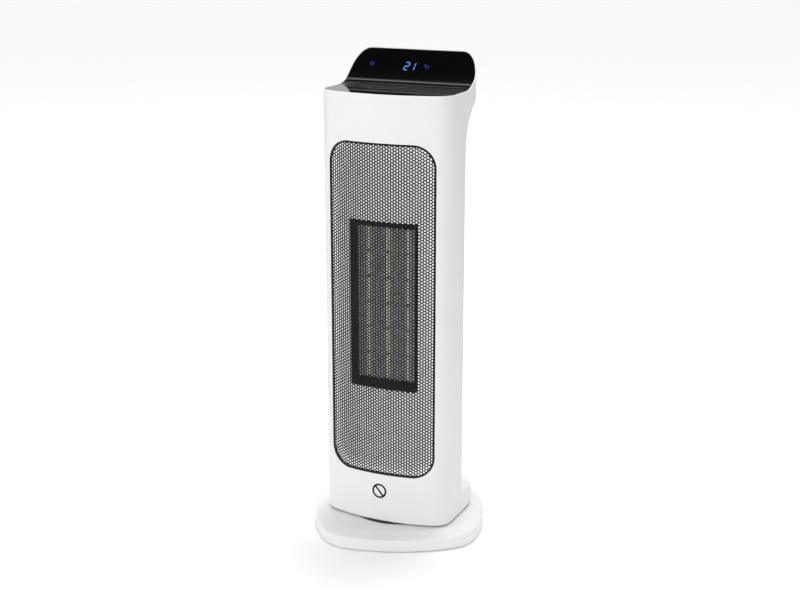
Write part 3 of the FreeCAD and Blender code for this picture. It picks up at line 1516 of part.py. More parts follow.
def switch_frame():
    """Snap-in frame of the power switch: a rim outside the back and a box inside it."""
    x, y, z = switch_spot

    def centred(middle, width):
        return f"{middle} - ({width}) / 2", f"{middle} + ({width}) / 2"

    rim_depth = (y, f"{y} + switch_rim")
    rim = block("switch_rim_block", centred(x, "switch_width"), rim_depth, centred(z, "switch_tall"))
    inside = (f"{y} - switch_body_depth", y)
    box = block("switch_box", centred(x, "switch_body_width"), inside, centred(z, "switch_body_tall"))
    width, tall = "2 * rocker_half_width + 1.4", "2 * rocker_half_tall + 2 * fit"
    well_y = (f"{y} - switch_body_depth / 2 - 2", f"{y} + switch_rim + 1")
    well = block("switch_well", centred(x, width), well_y, centred(z, tall))
    start = (x, f"{y} - 3", f"{z} - rocker_half_tall - 0.9")
    pin = rod("switch_pin_hole", "rocker_pin + running_fit", start, "2 * rocker_half_tall + 1.8")
    return cut("switch_frame", fuse("switch_solid", rim, box), well, pin)


def power_rocker():
    """Rocks about an upright pin; it stands tilted to its on side."""
    body = new_body("power_rocker")
    sketch = new_sketch(body, "rocker_profile", "XY", "-rocker_half_tall")
    half = "rocker_half_width"
    spots = [
        (f"-{half} + 1.5", "-3.4"),
        (f"{half} - 1.5", "-3.4"),
        (half, "5.2"),
        ("0", "4.2"),
        (f"-{half}", "5.2"),
    ]
    points = [Vector(number(x), number(y)) for x, y in spots]
    edges = [Part.LineSegment(a, b) for a, b in zip(points, points[1:] + points[:1])]
    loop(sketch, edges, ["Coincident"] * len(edges))
    for index, (x, y) in enumerate(spots):
        rule(sketch, x, "DistanceX", -1, 1, index, 1)
        rule(sketch, y, "DistanceY", -1, 1, index, 1)
    pad(body, sketch, "2 * rocker_half_tall")
    pin = new_sketch(body, "rocker_pins", "XY", "-rocker_half_tall - 0.8")
    circle(pin, "0", "0", "rocker_pin")
    pad(body, pin, "2 * rocker_half_tall + 1.6")
    x, y, z = (number(f) for f in switch_spot)
    tilt = Rotation(Vector(0, 0, 1), number("-rocker_tilt"))
    body.Placement = Placement(Vector(x, y - 3, z), tilt)
    return body


def cord_gland():
    """Bushing for the power cord, through the foot's back."""
    x, y, z = "gland_offset", "foot_reach", "switch_height"
    collar = rod("gland_collar", "gland_radius", (x, y, z), "3", along_y)
    neck = rod("gland_neck", "gland_body", (x, f"{y} - 10", z), "10", along_y)
    nut = rod("gland_nut", "gland_radius", (x, f"{y} - wall - 4", z), "4", along_y)
    bore = rod("gland_inside", "gland_bore", (x, f"{y} - 15", z), "30", along_y)
    return cut("cord_gland", fuse("gland_solid", collar, neck, nut), bore)


def motor_and_heater_mounts():
    """Bracket strips that tie the casing's plates to the heater's frame."""
    strips = []
    for low in (f"{casing_low} - end_plate - 2", f"{casing_high} + end_plate"):
        x = ("-30", "-6")
        y = ("-heater_frame_back + terminal_thickness + fit", "4")
        strips.append(block("bracket", x, y, (low, f"{low} + 2")))
    return group("blower_brackets", strips)


# ---- build, check and export ----

front, rear = casing()
parts = [
    front_housing(front),
    rear_housing(rear),
    intake_grille(),
    dust_filter(),
    mesh_frame(),
    front_mesh(),
    baffle_plate(),
    heater_frame(),
    heater_stones(),
    heater_plates(),
    heater_fins(),
    heater_terminals(),
    *heater_safety(),
    blower_casing(),
    blower_tongue(),
    *end_plates(),
    motor_and_heater_mounts(),
    fan_motor(),
    motor_screws(),
    top_bearing(),
    fan_wheel(),
    fan_shaft(),
    swivel_gear(),
    drive_pinion(),
    swivel_motor(),
    swivel_screws(),
    tower_floor(),
    floor_screws(),
    control_panel(),
    display_module(),
    control_board(),
    *power_board(),
    power_board_screws(),
    housing_screws(),
    temperature_sensor(),
    tip_switch(),
    switch_frame(),
    power_rocker(),
    cord_gland(),
    base_cover(),
    base_plate(),
    rubber_feet(),
    base_screws(),
    gear_screws(),
    slide_ring(),
]
doc.recompute()

for item in doc.Objects:
    if "Invalid" in item.State or "Error" in item.State:
        raise RuntimeError(f"{item.Name} did not build: {item.State}")
names = [item.Label for item in parts]
if len(set(names)) < len(names):
    raise RuntimeError("two parts share a name")
os.makedirs("parts", exist_ok=True)
for item in parts:
    shape = item.Shape
    if shape.isNull() or not shape.isValid() or not shape.Solids:
        raise RuntimeError(f"{item.Label} has no valid solid")
    shape.exportStep(f"parts/{item.Label}.step")
print(len(parts), "parts")
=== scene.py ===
import math

import bmesh
import bpy
from mathutils import Matrix, Vector
from mathutils.bvhtree import BVHTree


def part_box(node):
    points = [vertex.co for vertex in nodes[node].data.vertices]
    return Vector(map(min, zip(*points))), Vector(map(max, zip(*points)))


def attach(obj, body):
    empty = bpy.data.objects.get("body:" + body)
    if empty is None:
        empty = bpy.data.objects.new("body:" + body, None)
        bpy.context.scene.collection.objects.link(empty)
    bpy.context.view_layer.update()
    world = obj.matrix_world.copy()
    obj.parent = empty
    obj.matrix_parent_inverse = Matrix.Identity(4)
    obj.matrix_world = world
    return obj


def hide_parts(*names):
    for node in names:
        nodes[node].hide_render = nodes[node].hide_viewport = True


# A ceramic tower heater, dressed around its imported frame. Metres; the grille faces -Y.

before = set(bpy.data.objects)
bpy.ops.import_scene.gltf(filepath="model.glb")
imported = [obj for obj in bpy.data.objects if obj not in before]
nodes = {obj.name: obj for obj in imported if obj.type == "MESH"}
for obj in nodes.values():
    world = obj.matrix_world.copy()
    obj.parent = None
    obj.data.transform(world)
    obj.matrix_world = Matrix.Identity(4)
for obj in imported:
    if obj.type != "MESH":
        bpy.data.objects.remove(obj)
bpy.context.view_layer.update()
mm = 0.001
print("frame loaded:", len(nodes), "nodes")


def addNode(tree, kind, inputs=None, **options):
    node = tree.nodes.new(kind)
    for name, value in options.items():
        setattr(node, name, value)
    for name, value in (inputs or {}).items():
        if isinstance(value, bpy.types.NodeSocket):
            tree.links.new(value, node.inputs[name])
        else:
            node.inputs[name].default_value = value
    return node


def addMath(tree, operation, first, second=0.0, clamp=False):
    node = addNode(tree, "ShaderNodeMath", {0: first, 1: second}, operation=operation)
    node.use_clamp = clamp
    return node.outputs[0]


def remap(tree, value, low, high, toLow=0.0, toHigh=1.0):
    limits = {"Value": value, "From Min": low, "From Max": high, "To Min": toLow, "To Max": toHigh}
    return addNode(tree, "ShaderNodeMapRange", limits).outputs["Result"]


def blendColours(tree, factor, first, second):
    node = addNode(tree, "ShaderNodeMix", data_type="RGBA")
    for index, value in ((0, factor), (6, first), (7, second)):
        if isinstance(value, bpy.types.NodeSocket):
            tree.links.new(value, node.inputs[index])
        else:
            node.inputs[index].default_value = value
    return node.outputs[2]


def grey(level):
    return (level, level, level, 1.0)


def newGroup(name, inputs, outputs):
    tree = bpy.data.node_groups.new(name, "ShaderNodeTree")
    for title, kind, value in inputs:
        socket = tree.interface.new_socket(title, in_out="INPUT", socket_type=kind)
        if value is not None:
            socket.default_value = value
    for title, kind in outputs:
        tree.interface.new_socket(title, in_out="OUTPUT", socket_type=kind)
    entry = tree.nodes.new("NodeGroupInput")
    leave = tree.nodes.new("NodeGroupOutput")
    return tree, entry.outputs, leave.inputs


number, vector = "NodeSocketFloat", "NodeSocketVector"


# Fine spark-eroded grain of a moulded face, and the slow cloud of its gloss.
def makeMouldGrain():
    tree, given, out = newGroup(
        "mouldGrain",
        [("Vector", vector, None), ("Grain Scale", number, 1800.0), ("Cloud Scale", number, 9.0)],
        [("Height", number), ("Cloud", number)],
    )
    fine = addNode(tree, "ShaderNodeTexNoise", {"Vector": given[0], "Scale": given[1], "Detail": 3.0})
    slow = addNode(tree, "ShaderNodeTexNoise", {"Vector": given[0], "Scale": given[2], "Detail": 2.0})
    tree.links.new(fine.outputs["Fac"], out[0])
    tree.links.new(remap(tree, slow.outputs["Fac"], 0.3, 0.7), out[1])
    return tree


# A mask of light dust on what faces up.
def makeDustFilm():
    tree, given, out = newGroup(
        "dustFilm",
        [("Vector", vector, None), ("Scale", number, 60.0), ("Amount", number, 0.2)],
        [("Mask", number)],
    )
    facing = addNode(tree, "ShaderNodeNewGeometry")
    parts = addNode(tree, "ShaderNodeSeparateXYZ", {0: facing.outputs["Normal"]})
    upward = remap(tree, parts.outputs["Z"], 0.5, 1.0)
    patches = addNode(tree, "ShaderNodeTexNoise", {"Vector": given[0], "Scale": given[1], "Detail": 6.0})
    broken = addMath(tree, "MULTIPLY", upward, remap(tree, patches.outputs["Fac"], 0.4, 0.8))
    tree.links.new(addMath(tree, "MULTIPLY", broken, given[2], clamp=True), out[0])
    return tree


# Fine lines left by rolling or drawing a metal, along one axis of the vector.
def makeDrawnLines():
    tree, given, out = newGroup(
        "drawnLines",
        [("Vector", vector, None), ("Scale", number, 400.0), ("Along", vector, (1.0, 1.0, 0.02))],
        [("Height", number), ("Streak", number)],
    )
    pulled = addNode(tree, "ShaderNodeVectorMath", {0: given[0], 1: given[2]}, operation="MULTIPLY")
    lines = addNode(
        tree, "ShaderNodeTexNoise", {"Vector": pulled.outputs[0], "Scale": given[1], "Detail": 4.0}
    )
    tree.links.new(lines.outputs["Fac"], out[0])
    tree.links.new(remap(tree, lines.outputs["Fac"], 0.35, 0.65), out[1])
    return tree


# Soft wipes and finger marks on a polished face, as a roughness mask.
def makeSmudges():
    tree, given, out = newGroup(
        "smudges",
        [("Vector", vector, None), ("Scale", number, 14.0), ("Amount", number, 0.1)],
        [("Mask", number)],
    )
    pulled = addNode(
        tree, "ShaderNodeVectorMath", {0: given[0], 1: (1.0, 3.0, 3.0)}, operation="MULTIPLY"
    )
    wipes = addNode(
        tree,
        "ShaderNodeTexNoise",
        {"Vector": pulled.outputs[0], "Scale": given[1], "Detail": 5.0, "Distortion": 1.5},
    )
    mask = remap(tree, wipes.outputs["Fac"], 0.45, 0.8)
    tree.links.new(addMath(tree, "MULTIPLY", mask, given[2], clamp=True), out[0])
    return tree


# Crossing threads of a fine filter cloth in the XZ plane.
def makeWovenThreads():
    tree, given, out = newGroup(
        "wovenThreads",
        [("Vector", vector, None), ("Threads Per Metre", number, 900.0)],
        [("Height", number)],
    )
    parts = addNode(tree, "ShaderNodeSeparateXYZ", {0: given[0]})
    waves = []
    for axis in ("X", "Z"):
        turns = addMath(tree, "MULTIPLY", parts.outputs[axis], given[1])
        wave = addMath(tree, "SINE", addMath(tree, "MULTIPLY", turns, math.pi))
        waves.append(addMath(tree, "ABSOLUTE", wave))
    tree.links.new(addMath(tree, "MAXIMUM", waves[0], waves[1]), out[0])
    return tree


mouldGrain = makeMouldGrain()
dustFilm = makeDustFilm()
drawnLines = makeDrawnLines()
smudges = makeSmudges()
wovenThreads = makeWovenThreads()


def newMaterial(name):
    material = bpy.data.materials.new(name)
    material.use_nodes = True
    tree = material.node_tree
    place = addNode(tree, "ShaderNodeTexCoord")
    return material, tree, tree.nodes["Principled BSDF"], place.outputs["Object"]


def useGroup(tree, group, **inputs):
    node = addNode(tree, "ShaderNodeGroup", node_tree=group)
    for name, value in inputs.items():
        socket = node.inputs[name.replace("_", " ")]
        if isinstance(value, bpy.types.NodeSocket):
            tree.links.new(value, socket)
        else:
            socket.default_value = value
    return node.outputs


def addBump(tree, shader, height, depth):
    bump = addNode(tree, "ShaderNodeBump", {"Height": height, "Distance": depth, "Strength": 1.0})
    tree.links.new(bump.outputs["Normal"], shader.inputs["Normal"])


# Finishes of the moulded plastics and the rubber.
mouldedFinishes = {
    "whitePlastic": {
        "light": (0.86, 0.86, 0.86, 1), "shade": (0.83, 0.83, 0.835, 1), "rough": (0.34, 0.42),
        "grain": 1500, "depth": 0.00003, "dust": 0.05, "level": 0.5,
    },
    # Painted light: a lighter copy of the white plastic, for the base cover that the tower shades.
    "basePaintedLighter": {
        "light": (0.92, 0.92, 0.92, 1), "shade": (0.89, 0.89, 0.895, 1), "rough": (0.36, 0.44),
        "grain": 1500, "depth": 0.00003, "dust": 0.05, "level": 0.5,
    },
    # Painted glow: the baffle glows in its own tone, standing in for light reaching it through the mesh.
    "baffleWhite": {
        "light": (0.97, 0.97, 0.97, 1), "shade": (0.95, 0.95, 0.95, 1), "rough": (0.45, 0.55),
        "grain": 1200, "depth": 0.00003, "dust": 0.0, "level": 0.4, "paintedGlow": 0.5,
    },
    "greyPlastic": {
        "light": (0.3, 0.3, 0.31, 1), "shade": (0.26, 0.26, 0.27, 1), "rough": (0.5, 0.6),
        "grain": 900, "depth": 0.00006, "dust": 0.1, "level": 0.4,
    },
    "blackTrim": {
        "light": (0.008, 0.008, 0.008, 1), "shade": (0.004, 0.004, 0.004, 1), "rough": (0.36, 0.46),
        "grain": 1400, "depth": 0.00003, "dust": 0.01, "level": 0.2,
    },
    "blackMesh": {
        "light": (0.008, 0.008, 0.008, 1), "shade": (0.004, 0.004, 0.004, 1), "rough": (0.4, 0.5),
        "grain": 2600, "depth": 0.00002, "dust": 0.01, "level": 0.18,
    },
    "blackHeatproof": {
        "light": (0.022, 0.021, 0.02, 1), "shade": (0.01, 0.01, 0.01, 1), "rough": (0.55, 0.7),
        "grain": 700, "depth": 0.00008, "dust": 0.08, "level": 0.35,
    },
    "blackPart": {
        "light": (0.025, 0.025, 0.027, 1), "shade": (0.014, 0.014, 0.015, 1), "rough": (0.3, 0.42),
        "grain": 1300, "depth": 0.00004, "dust": 0.06, "level": 0.45,
    },
    "gearNylon": {
        "light": (0.78, 0.76, 0.69, 1), "shade": (0.7, 0.68, 0.6, 1), "rough": (0.35, 0.45),
        "grain": 800, "depth": 0.00003, "dust": 0.05, "level": 0.45,
    },
    "fanPlastic": {
        "light": (0.07, 0.072, 0.078, 1), "shade": (0.045, 0.046, 0.05, 1), "rough": (0.4, 0.52),
        "grain": 1000, "depth": 0.00004, "dust": 0.25, "level": 0.4,
    },
    "footRubber": {
        "light": (0.06, 0.06, 0.062, 1), "shade": (0.035, 0.035, 0.036, 1), "rough": (0.75, 0.9),
        "grain": 500, "depth": 0.00012, "dust": 0.1, "level": 0.25,
    },
}
dustColour = (0.55, 0.53, 0.5, 1)


# Painted light: a glow in the surface's own tone, standing in for the light that goes to and fro behind the
# mesh.
def addPaintedGlow(tree, shader, tone, strength):
    if strength > 0:
        tree.links.new(tone, shader.inputs["Emission Color"])
        shader.inputs["Emission Strength"].default_value = strength


# A moulded plastic or rubber: grain, a slow change of gloss and tone, a little dust, and where its look asks,
# a painted glow.
def makeMoulded(name, look):
    material, tree, shader, place = newMaterial(name)
    grain = useGroup(tree, mouldGrain, Vector=place, Grain_Scale=look["grain"])
    dust = useGroup(tree, dustFilm, Vector=place, Amount=look["dust"])["Mask"]
    tone = blendColours(tree, grain["Cloud"], look["light"], look["shade"])
    tree.links.new(blendColours(tree, dust, tone, dustColour), shader.inputs["Base Color"])
    rough = remap(tree, grain["Cloud"], 0.0, 1.0, *look["rough"])
    tree.links.new(addMath(tree, "ADD", rough, dust, clamp=True), shader.inputs["Roughness"])
    shader.inputs["Specular IOR Level"].default_value = look["level"]
    addPaintedGlow(tree, shader, tone, look.get("paintedGlow", 0.0))
    addBump(tree, shader, grain["Height"], look["depth"])
    return material


metalFinishes = {
    # Painted glow: the fins glow faintly in their own tone, standing in for light in the heater's recess.
    "foldedAluminium": {
        "light": (0.8, 0.8, 0.81, 1), "shade": (0.6, 0.6, 0.62, 1), "rough": (0.28, 0.45),
        "scale": 500, "along": (1.0, 0.03, 1.0), "depth": 0.00003, "paintedGlow": 0.1,
    },
    "screwSteel": {
        "light": (0.62, 0.62, 0.64, 1), "shade": (0.4, 0.4, 0.42, 1), "rough": (0.25, 0.42),
        "scale": 900, "along": (1.0, 1.0, 1.0), "depth": 0.00002,
    },
    "sheetSteel": {
        "light": (0.66, 0.67, 0.68, 1), "shade": (0.5, 0.5, 0.52, 1), "rough": (0.3, 0.48),
        "scale": 350, "along": (1.0, 1.0, 0.03), "depth": 0.00004,
    },
    "terminalBrass": {
        "light": (0.79, 0.6, 0.28, 1), "shade": (0.6, 0.43, 0.18, 1), "rough": (0.25, 0.42),
        "scale": 600, "along": (1.0, 1.0, 0.05), "depth": 0.00002,
    },
}


# Rolled or drawn metal, with streaks of tone and gloss along its working direction, and where its look asks,
# a painted glow.
def makeMetal(name, look):
    material, tree, shader, place = newMaterial(name)
    drawn = useGroup(tree, drawnLines, Vector=place, Scale=look["scale"], Along=look["along"])
    tone = blendColours(tree, drawn["Streak"], look["light"], look["shade"])
    tree.links.new(tone, shader.inputs["Base Color"])
    rough = remap(tree, drawn["Streak"], 0.0, 1.0, *look["rough"])
    tree.links.new(rough, shader.inputs["Roughness"])
    shader.inputs["Metallic"].default_value = 1.0
    addPaintedGlow(tree, shader, tone, look.get("paintedGlow", 0.0))
    addBump(tree, shader, drawn["Height"], look["depth"])
    return material


# Polished black cover, with faint wipes.
def makeGloss():
    look = {"colour": grey(0.0022), "rough": 0.045, "wipes": 0.1, "dust": 0.015}
    material, tree, shader, place = newMaterial("blackGloss")
    wipes = useGroup(tree, smudges, Vector=place, Amount=look["wipes"])["Mask"]
    dust = useGroup(tree, dustFilm, Vector=place, Scale=300.0, Amount=look["dust"])["Mask"]
    tree.links.new(blendColours(tree, dust, look["colour"], dustColour), shader.inputs["Base Color"])
    tree.links.new(addMath(tree, "ADD", wipes, look["rough"], clamp=True), shader.inputs["Roughness"])
    return material


# Fired stone: pale, dull and speckled, with a painted glow in its own tone standing in for light in the
# heater's recess.
def makeCeramic():
    look = {"light": (0.86, 0.82, 0.72, 1), "fleck": (0.6, 0.5, 0.38, 1), "rough": 0.62, "depth": 0.00008,
            "paintedGlow": 0.42}
    material, tree, shader, place = newMaterial("heaterCeramic")
    grain = useGroup(tree, mouldGrain, Vector=place, Grain_Scale=900.0, Cloud_Scale=45.0)
    flecks = addNode(tree, "ShaderNodeTexVoronoi", {"Vector": place, "Scale": 700.0})
    mask = remap(tree, flecks.outputs["Distance"], 0.12, 0.2, 0.6, 0.0)
    tone = blendColours(tree, mask, look["light"], look["fleck"])
    fired = blendColours(tree, remap(tree, grain["Cloud"], 0, 1, 0, 0.25), tone, look["fleck"])
    tree.links.new(fired, shader.inputs["Base Color"])
    addPaintedGlow(tree, shader, fired, look["paintedGlow"])
    tree.links.new(remap(tree, grain["Cloud"], 0.0, 1.0, look["rough"], look["rough"] + 0.15),
                   shader.inputs["Roughness"])
    addBump(tree, shader, grain["Height"], look["depth"])
    return material


# Circuit board: green lacquer over tracks.
def makeBoard():
    look = {"lacquer": (0.012, 0.11, 0.045, 1), "track": (0.03, 0.2, 0.08, 1), "rough": 0.3, "depth": 0.00004}
    material, tree, shader, place = newMaterial("circuitBoard")
    tracks = addNode(
        tree,
        "ShaderNodeTexBrick",
        {"Vector": place, "Scale": 160.0, "Color1": grey(0.0), "Color2": grey(0.0), "Mortar": grey(1.0),
         "Mortar Size": 0.06},
    )
    tone = blendColours(tree, tracks.outputs["Fac"], look["lacquer"], look["track"])
    tree.links.new(tone, shader.inputs["Base Color"])
    cloud = useGroup(tree, mouldGrain, Vector=place, Cloud_Scale=30.0)["Cloud"]
    tree.links.new(remap(tree, cloud, 0, 1, look["rough"], look["rough"] + 0.12), shader.inputs["Roughness"])
    addBump(tree, shader, tracks.outputs["Fac"], look["depth"])
    return material


# Dark woven filter cloth.
def makeFilter():
    look = {"gap": (0.008, 0.008, 0.009, 1), "thread": (0.07, 0.072, 0.078, 1), "rough": (0.85, 0.6),
            "dust": 0.2, "depth": 0.0002}
    material, tree, shader, place = newMaterial("filterCloth")
    threads = useGroup(tree, wovenThreads, Vector=place)["Height"]
    tone = blendColours(tree, threads, look["gap"], look["thread"])
    cloud = useGroup(tree, mouldGrain, Vector=place, Cloud_Scale=25.0)["Cloud"]
    dusted = blendColours(tree, remap(tree, cloud, 0, 1, 0, look["dust"]), tone, dustColour)
    tree.links.new(dusted, shader.inputs["Base Color"])
    tree.links.new(remap(tree, threads, 0, 1, *look["rough"]), shader.inputs["Roughness"])
    addBump(tree, shader, threads, look["depth"])
    return material


# A lit figure behind the cover; the light is a little uneven along it.
def makeGlow(name, colour, strength, unevenness=0.25):
    material, tree, shader, place = newMaterial(name)
    cloud = useGroup(tree, mouldGrain, Vector=place, Cloud_Scale=260.0)["Cloud"]
    dimmer = tuple(c * (1 - unevenness) for c in colour[:3]) + (1,)
    tree.links.new(blendColours(tree, cloud, colour, dimmer), shader.inputs["Emission Color"])
    shader.inputs["Emission Strength"].default_value = strength
    shader.inputs["Base Color"].default_value = grey(0.0)
    shader.inputs["Roughness"].default_value = 0.2
    return material


finishes = {name: makeMoulded(name, look) for name, look in mouldedFinishes.items()}
finishes |= {name: makeMetal(name, look) for name, look in metalFinishes.items()}
finishes |= {
    "blackGloss": makeGloss(),
    "heaterCeramic": makeCeramic(),
    "circuitBoard": makeBoard(),
    "filterCloth": makeFilter(),
    "figureGlow": makeGlow("figureGlow", (0.16, 0.42, 1.0, 1), 0.95),
    "iconGlow": makeGlow("iconGlow", (0.06, 0.08, 0.6, 1), 0.6),
}
print("finishes made:", len(finishes))

finishOfSlot = {
    "white_plastic": "whitePlastic",
    "grey_plastic": "greyPlastic",
    "foot_rubber": "footRubber",
    "screw_steel": "screwSteel",
    "gear_plastic": "gearNylon",
    "filter_mesh": "filterCloth",
    "black_trim": "blackTrim",
    "black_mesh": "blackMesh",
    "baffle_white": "baffleWhite",
    "black_heatproof": "blackHeatproof",
    "heater_ceramic": "heaterCeramic",
    "heater_aluminium": "foldedAluminium",
    "terminal_brass": "terminalBrass",
    "sheet_steel": "sheetSteel",
    "black_gloss": "blackGloss",
    "display": "blackGloss",
    "circuit_board": "circuitBoard",
    "part_black": "blackPart",
    "fan_plastic": "fanPlastic",
}
# The base cover takes the lighter copy of the white plastic, painted light against the tower's shade.
finishOfNode = {"slide_ring": "blackPart", "base_cover": "basePaintedLighter"}
for name, node in nodes.items():
    for index, held in enumerate(node.data.materials):
        usual = finishOfSlot[held.name.split(".")[0]]
        node.data.materials[index] = finishes[finishOfNode.get(name, usual)]


# Turns a bmesh into a piece that rides on a body.
def newPiece(name, form, finish, body, smooth=False):
    mesh = bpy.data.meshes.new(name)
    form.to_mesh(mesh)
    form.free()
    mesh.materials.append(finishes[finish])
    for face in mesh.polygons:
        face.use_smooth = smooth
    piece = bpy.data.objects.new(name, mesh)
    bpy.context.scene.collection.objects.link(piece)
    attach(piece, body)
    return piece


# A copy of some of a form's geometry, moved by the offset.
def copyAside(form, source, offset):
    made = bmesh.ops.duplicate(form, geom=source)["geom"]
    verts = [item for item in made if isinstance(item, bmesh.types.BMVert)]
    bmesh.ops.translate(form, verts=verts, vec=offset)
    return made


def allOf(form):
    return form.verts[:] + form.edges[:] + form.faces[:]


# The lowest and highest corner of each separate solid of a CAD node.
def solidBoxes(name):
    form = bmesh.new()
    form.from_mesh(nodes[name].data)
    bmesh.ops.remove_doubles(form, verts=form.verts, dist=0.01 * mm)
    left, boxes = set(form.verts), []
    while left:
        found, edge = set(), {left.pop()}
        while edge:
            found |= edge
            edge = {e.other_vert(v) for v in edge for e in v.link_edges} - found
        left -= found
        boxes.append([Vector(pick(v.co[i] for v in found) for i in range(3)) for pick in (min, max)])
    form.free()
    return sorted(boxes, key=lambda box: tuple(box[0]))


# The tower's front is an arc in plan; its apex is the housing's foremost point.
frontBow = {"radius": 222 * mm}
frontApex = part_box("front_housing")[0].y
frontCentre = frontApex + frontBow["radius"]


# Wraps a flat form in the XZ plane onto the front; its Y is kept as a lift off that depth.
def bendOntoFront(form, depth):
    radius = frontBow["radius"] - depth
    for vert in form.verts:
        turn = vert.co.x / radius
        reach = radius - vert.co.y
        vert.co.x = reach * math.sin(turn)
        vert.co.y = frontCentre - reach * math.cos(turn)


# Front mesh: hexagonal holes in columns.

meshLook = {"pitch": 4 * mm, "bar": 1.35 * mm, "depth": 1.7 * mm, "thickness": 0.8 * mm, "corner": 25 * mm,
            "lap": 1.2 * mm}


# Half the height of a rounded rectangle at a distance from its middle.
def halfHeightAt(x, halfWidth, halfHeight, corner):
    past = abs(x) - (halfWidth - corner)
    if past <= 0:
        return halfHeight
    return halfHeight - corner + math.sqrt(max(corner**2 - min(past, corner) ** 2, 0))


# Moves a point that lies outside a rounded rectangle onto its edge.
def pullInside(point, halfWidth, middle, halfHeight, corner):
    x, z = point.x, point.z - middle
    inner = Vector((halfWidth - corner, halfHeight - corner))
    past = Vector((max(abs(x) - inner.x, 0), max(abs(z) - inner.y, 0)))
    if past.length > corner:
        past *= corner / past.length
        point.x = math.copysign(min(abs(x), inner.x) + past.x, x)
        point.z = middle + math.copysign(min(abs(z), inner.y) + past.y, z)


def makeFrontMesh():
    low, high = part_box("front_mesh")
    radius = frontBow["radius"] - meshLook["depth"]
    half = radius * math.asin(high.x / radius) + meshLook["lap"]
    middle, tall = (low.z + high.z) / 2, (high.z - low.z) / 2 + meshLook["lap"]
    pitch, corner = meshLook["pitch"], meshLook["corner"] + meshLook["lap"]
    spacing = pitch * math.sqrt(3) / 2
    form = bmesh.new()
    bmesh.ops.create_circle(form, cap_ends=True, segments=6, radius=pitch / math.sqrt(3))
    bmesh.ops.rotate(form, verts=form.verts, matrix=Matrix.Rotation(math.radians(30), 3, "Z"))
    bmesh.ops.rotate(form, verts=form.verts, matrix=Matrix.Rotation(math.radians(90), 3, "X"))
    hole = form.faces[:]
    bmesh.ops.inset_individual(form, faces=hole, thickness=meshLook["bar"] / 2, use_even_offset=True)
    bmesh.ops.delete(form, geom=hole, context="FACES_ONLY")
    bmesh.ops.translate(form, verts=form.verts, vec=(0, 0, middle))
    rows = int(tall / pitch) + 1
    cell = allOf(form)
    for step in range(-rows, rows + 1):
        if step:
            copyAside(form, cell, (0, 0, step * pitch))
    column = allOf(form)
    columns = int(half / spacing)
    for step in range(-columns, columns + 1):
        if step:
            copyAside(form, column, (step * spacing, 0, step % 2 * pitch / 2))
    stray = []
    for face in form.faces:
        spot = face.calc_center_median()
        step = round(spot.x / spacing)
        shift = step % 2 * pitch / 2
        row = round((spot.z - middle - shift) / pitch)
        reach = halfHeightAt(step * spacing, half, tall, corner)
        if abs(row * pitch + shift) > reach:
            stray.append(face)
    bmesh.ops.delete(form, geom=stray, context="FACES")
    bmesh.ops.remove_doubles(form, verts=form.verts, dist=0.02 * mm)
    for vert in form.verts:
        pullInside(vert.co, half, middle, tall, corner)
    bmesh.ops.dissolve_degenerate(form, dist=0.01 * mm, edges=form.edges)
    bendOntoFront(form, meshLook["depth"])
    bmesh.ops.recalc_face_normals(form, faces=form.faces)
    if sum(face.normal.y for face in form.faces) > 0:
        bmesh.ops.reverse_faces(form, faces=form.faces)
    piece = newPiece("meshSheet", form, "blackMesh", "tower")
    wall = piece.modifiers.new("wall", "SOLIDIFY")
    wall.thickness = meshLook["thickness"]
    wall.offset = -1
    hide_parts("front_mesh")


makeFrontMesh()
print("front mesh made")


# Heater: folded fin strips between the plates and the stones.

finLook = {"pitch": 2.2 * mm, "sheet": 0.14 * mm, "turn": 0.4 * mm, "clear": 0.12 * mm}


def makeFins():
    strips = solidBoxes("heater_fins")
    low, high = strips[0]
    left, right = low.x + finLook["clear"], high.x - finLook["clear"]
    count = int((high.z - low.z - 2 * finLook["clear"]) / finLook["pitch"])
    step = (high.z - low.z - 2 * finLook["clear"]) / count
    form = bmesh.new()
    start = low.z + finLook["clear"]
    zigzag = ((left, 0), (right, 0.5), (left, 1))
    corners = [form.verts.new((x, low.y, start + rise * step)) for x, rise in zigzag]
    for one, other in zip(corners, corners[1:]):
        form.edges.new((one, other))
    fold = allOf(form)
    for index in range(1, count):
        copyAside(form, fold, (0, 0, index * step))
    bmesh.ops.remove_doubles(form, verts=form.verts, dist=0.01 * mm)
    made = bmesh.ops.extrude_edge_only(form, edges=form.edges[:])["geom"]
    verts = [item for item in made if isinstance(item, bmesh.types.BMVert)]
    bmesh.ops.translate(form, verts=verts, vec=(0, high.y - low.y, 0))
    folds = [edge for edge in form.edges if len(edge.link_faces) == 2]
    bmesh.ops.bevel(
        form, geom=folds, offset=finLook["turn"], segments=3, profile=0.5, affect="EDGES", material=-1
    )
    strip = allOf(form)
    for other, _ in strips[1:]:
        copyAside(form, strip, (other.x - low.x, 0, 0))
    bmesh.ops.recalc_face_normals(form, faces=form.faces)
    piece = newPiece("finStrips", form, "foldedAluminium", "tower", smooth=True)
    wall = piece.modifiers.new("wall", "SOLIDIFY")
    wall.thickness = finLook["sheet"]
    wall.offset = 0
    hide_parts("heater_fins")


makeFins()
print("fins made")


# Display: two figures and two icons behind the slope of the cover.

displayLook = {"slope": math.radians(57), "lift": 0.05 * mm, "thick": 0.1 * mm, "figureTall": 10.5 * mm,
               "figureWide": 5.6 * mm, "figureGap": 9.6 * mm, "bar": 1.5 * mm, "lean": 0.17,
               "figuresFromRight": 28 * mm, "oneShift": -1.6 * mm, "raise": 1.5 * mm}
# Each icon is a ring: its side of the display, how far in and up, its radius and its stroke.
iconRings = (
    ("left", 5 * mm, 1.5 * mm, 2.6 * mm, 1.1 * mm),
    ("right", 8 * mm, 2.5 * mm, 1.2 * mm, 0.6 * mm),
    ("right", 5.2 * mm, 0.3 * mm, 2.2 * mm, 0.9 * mm),
)


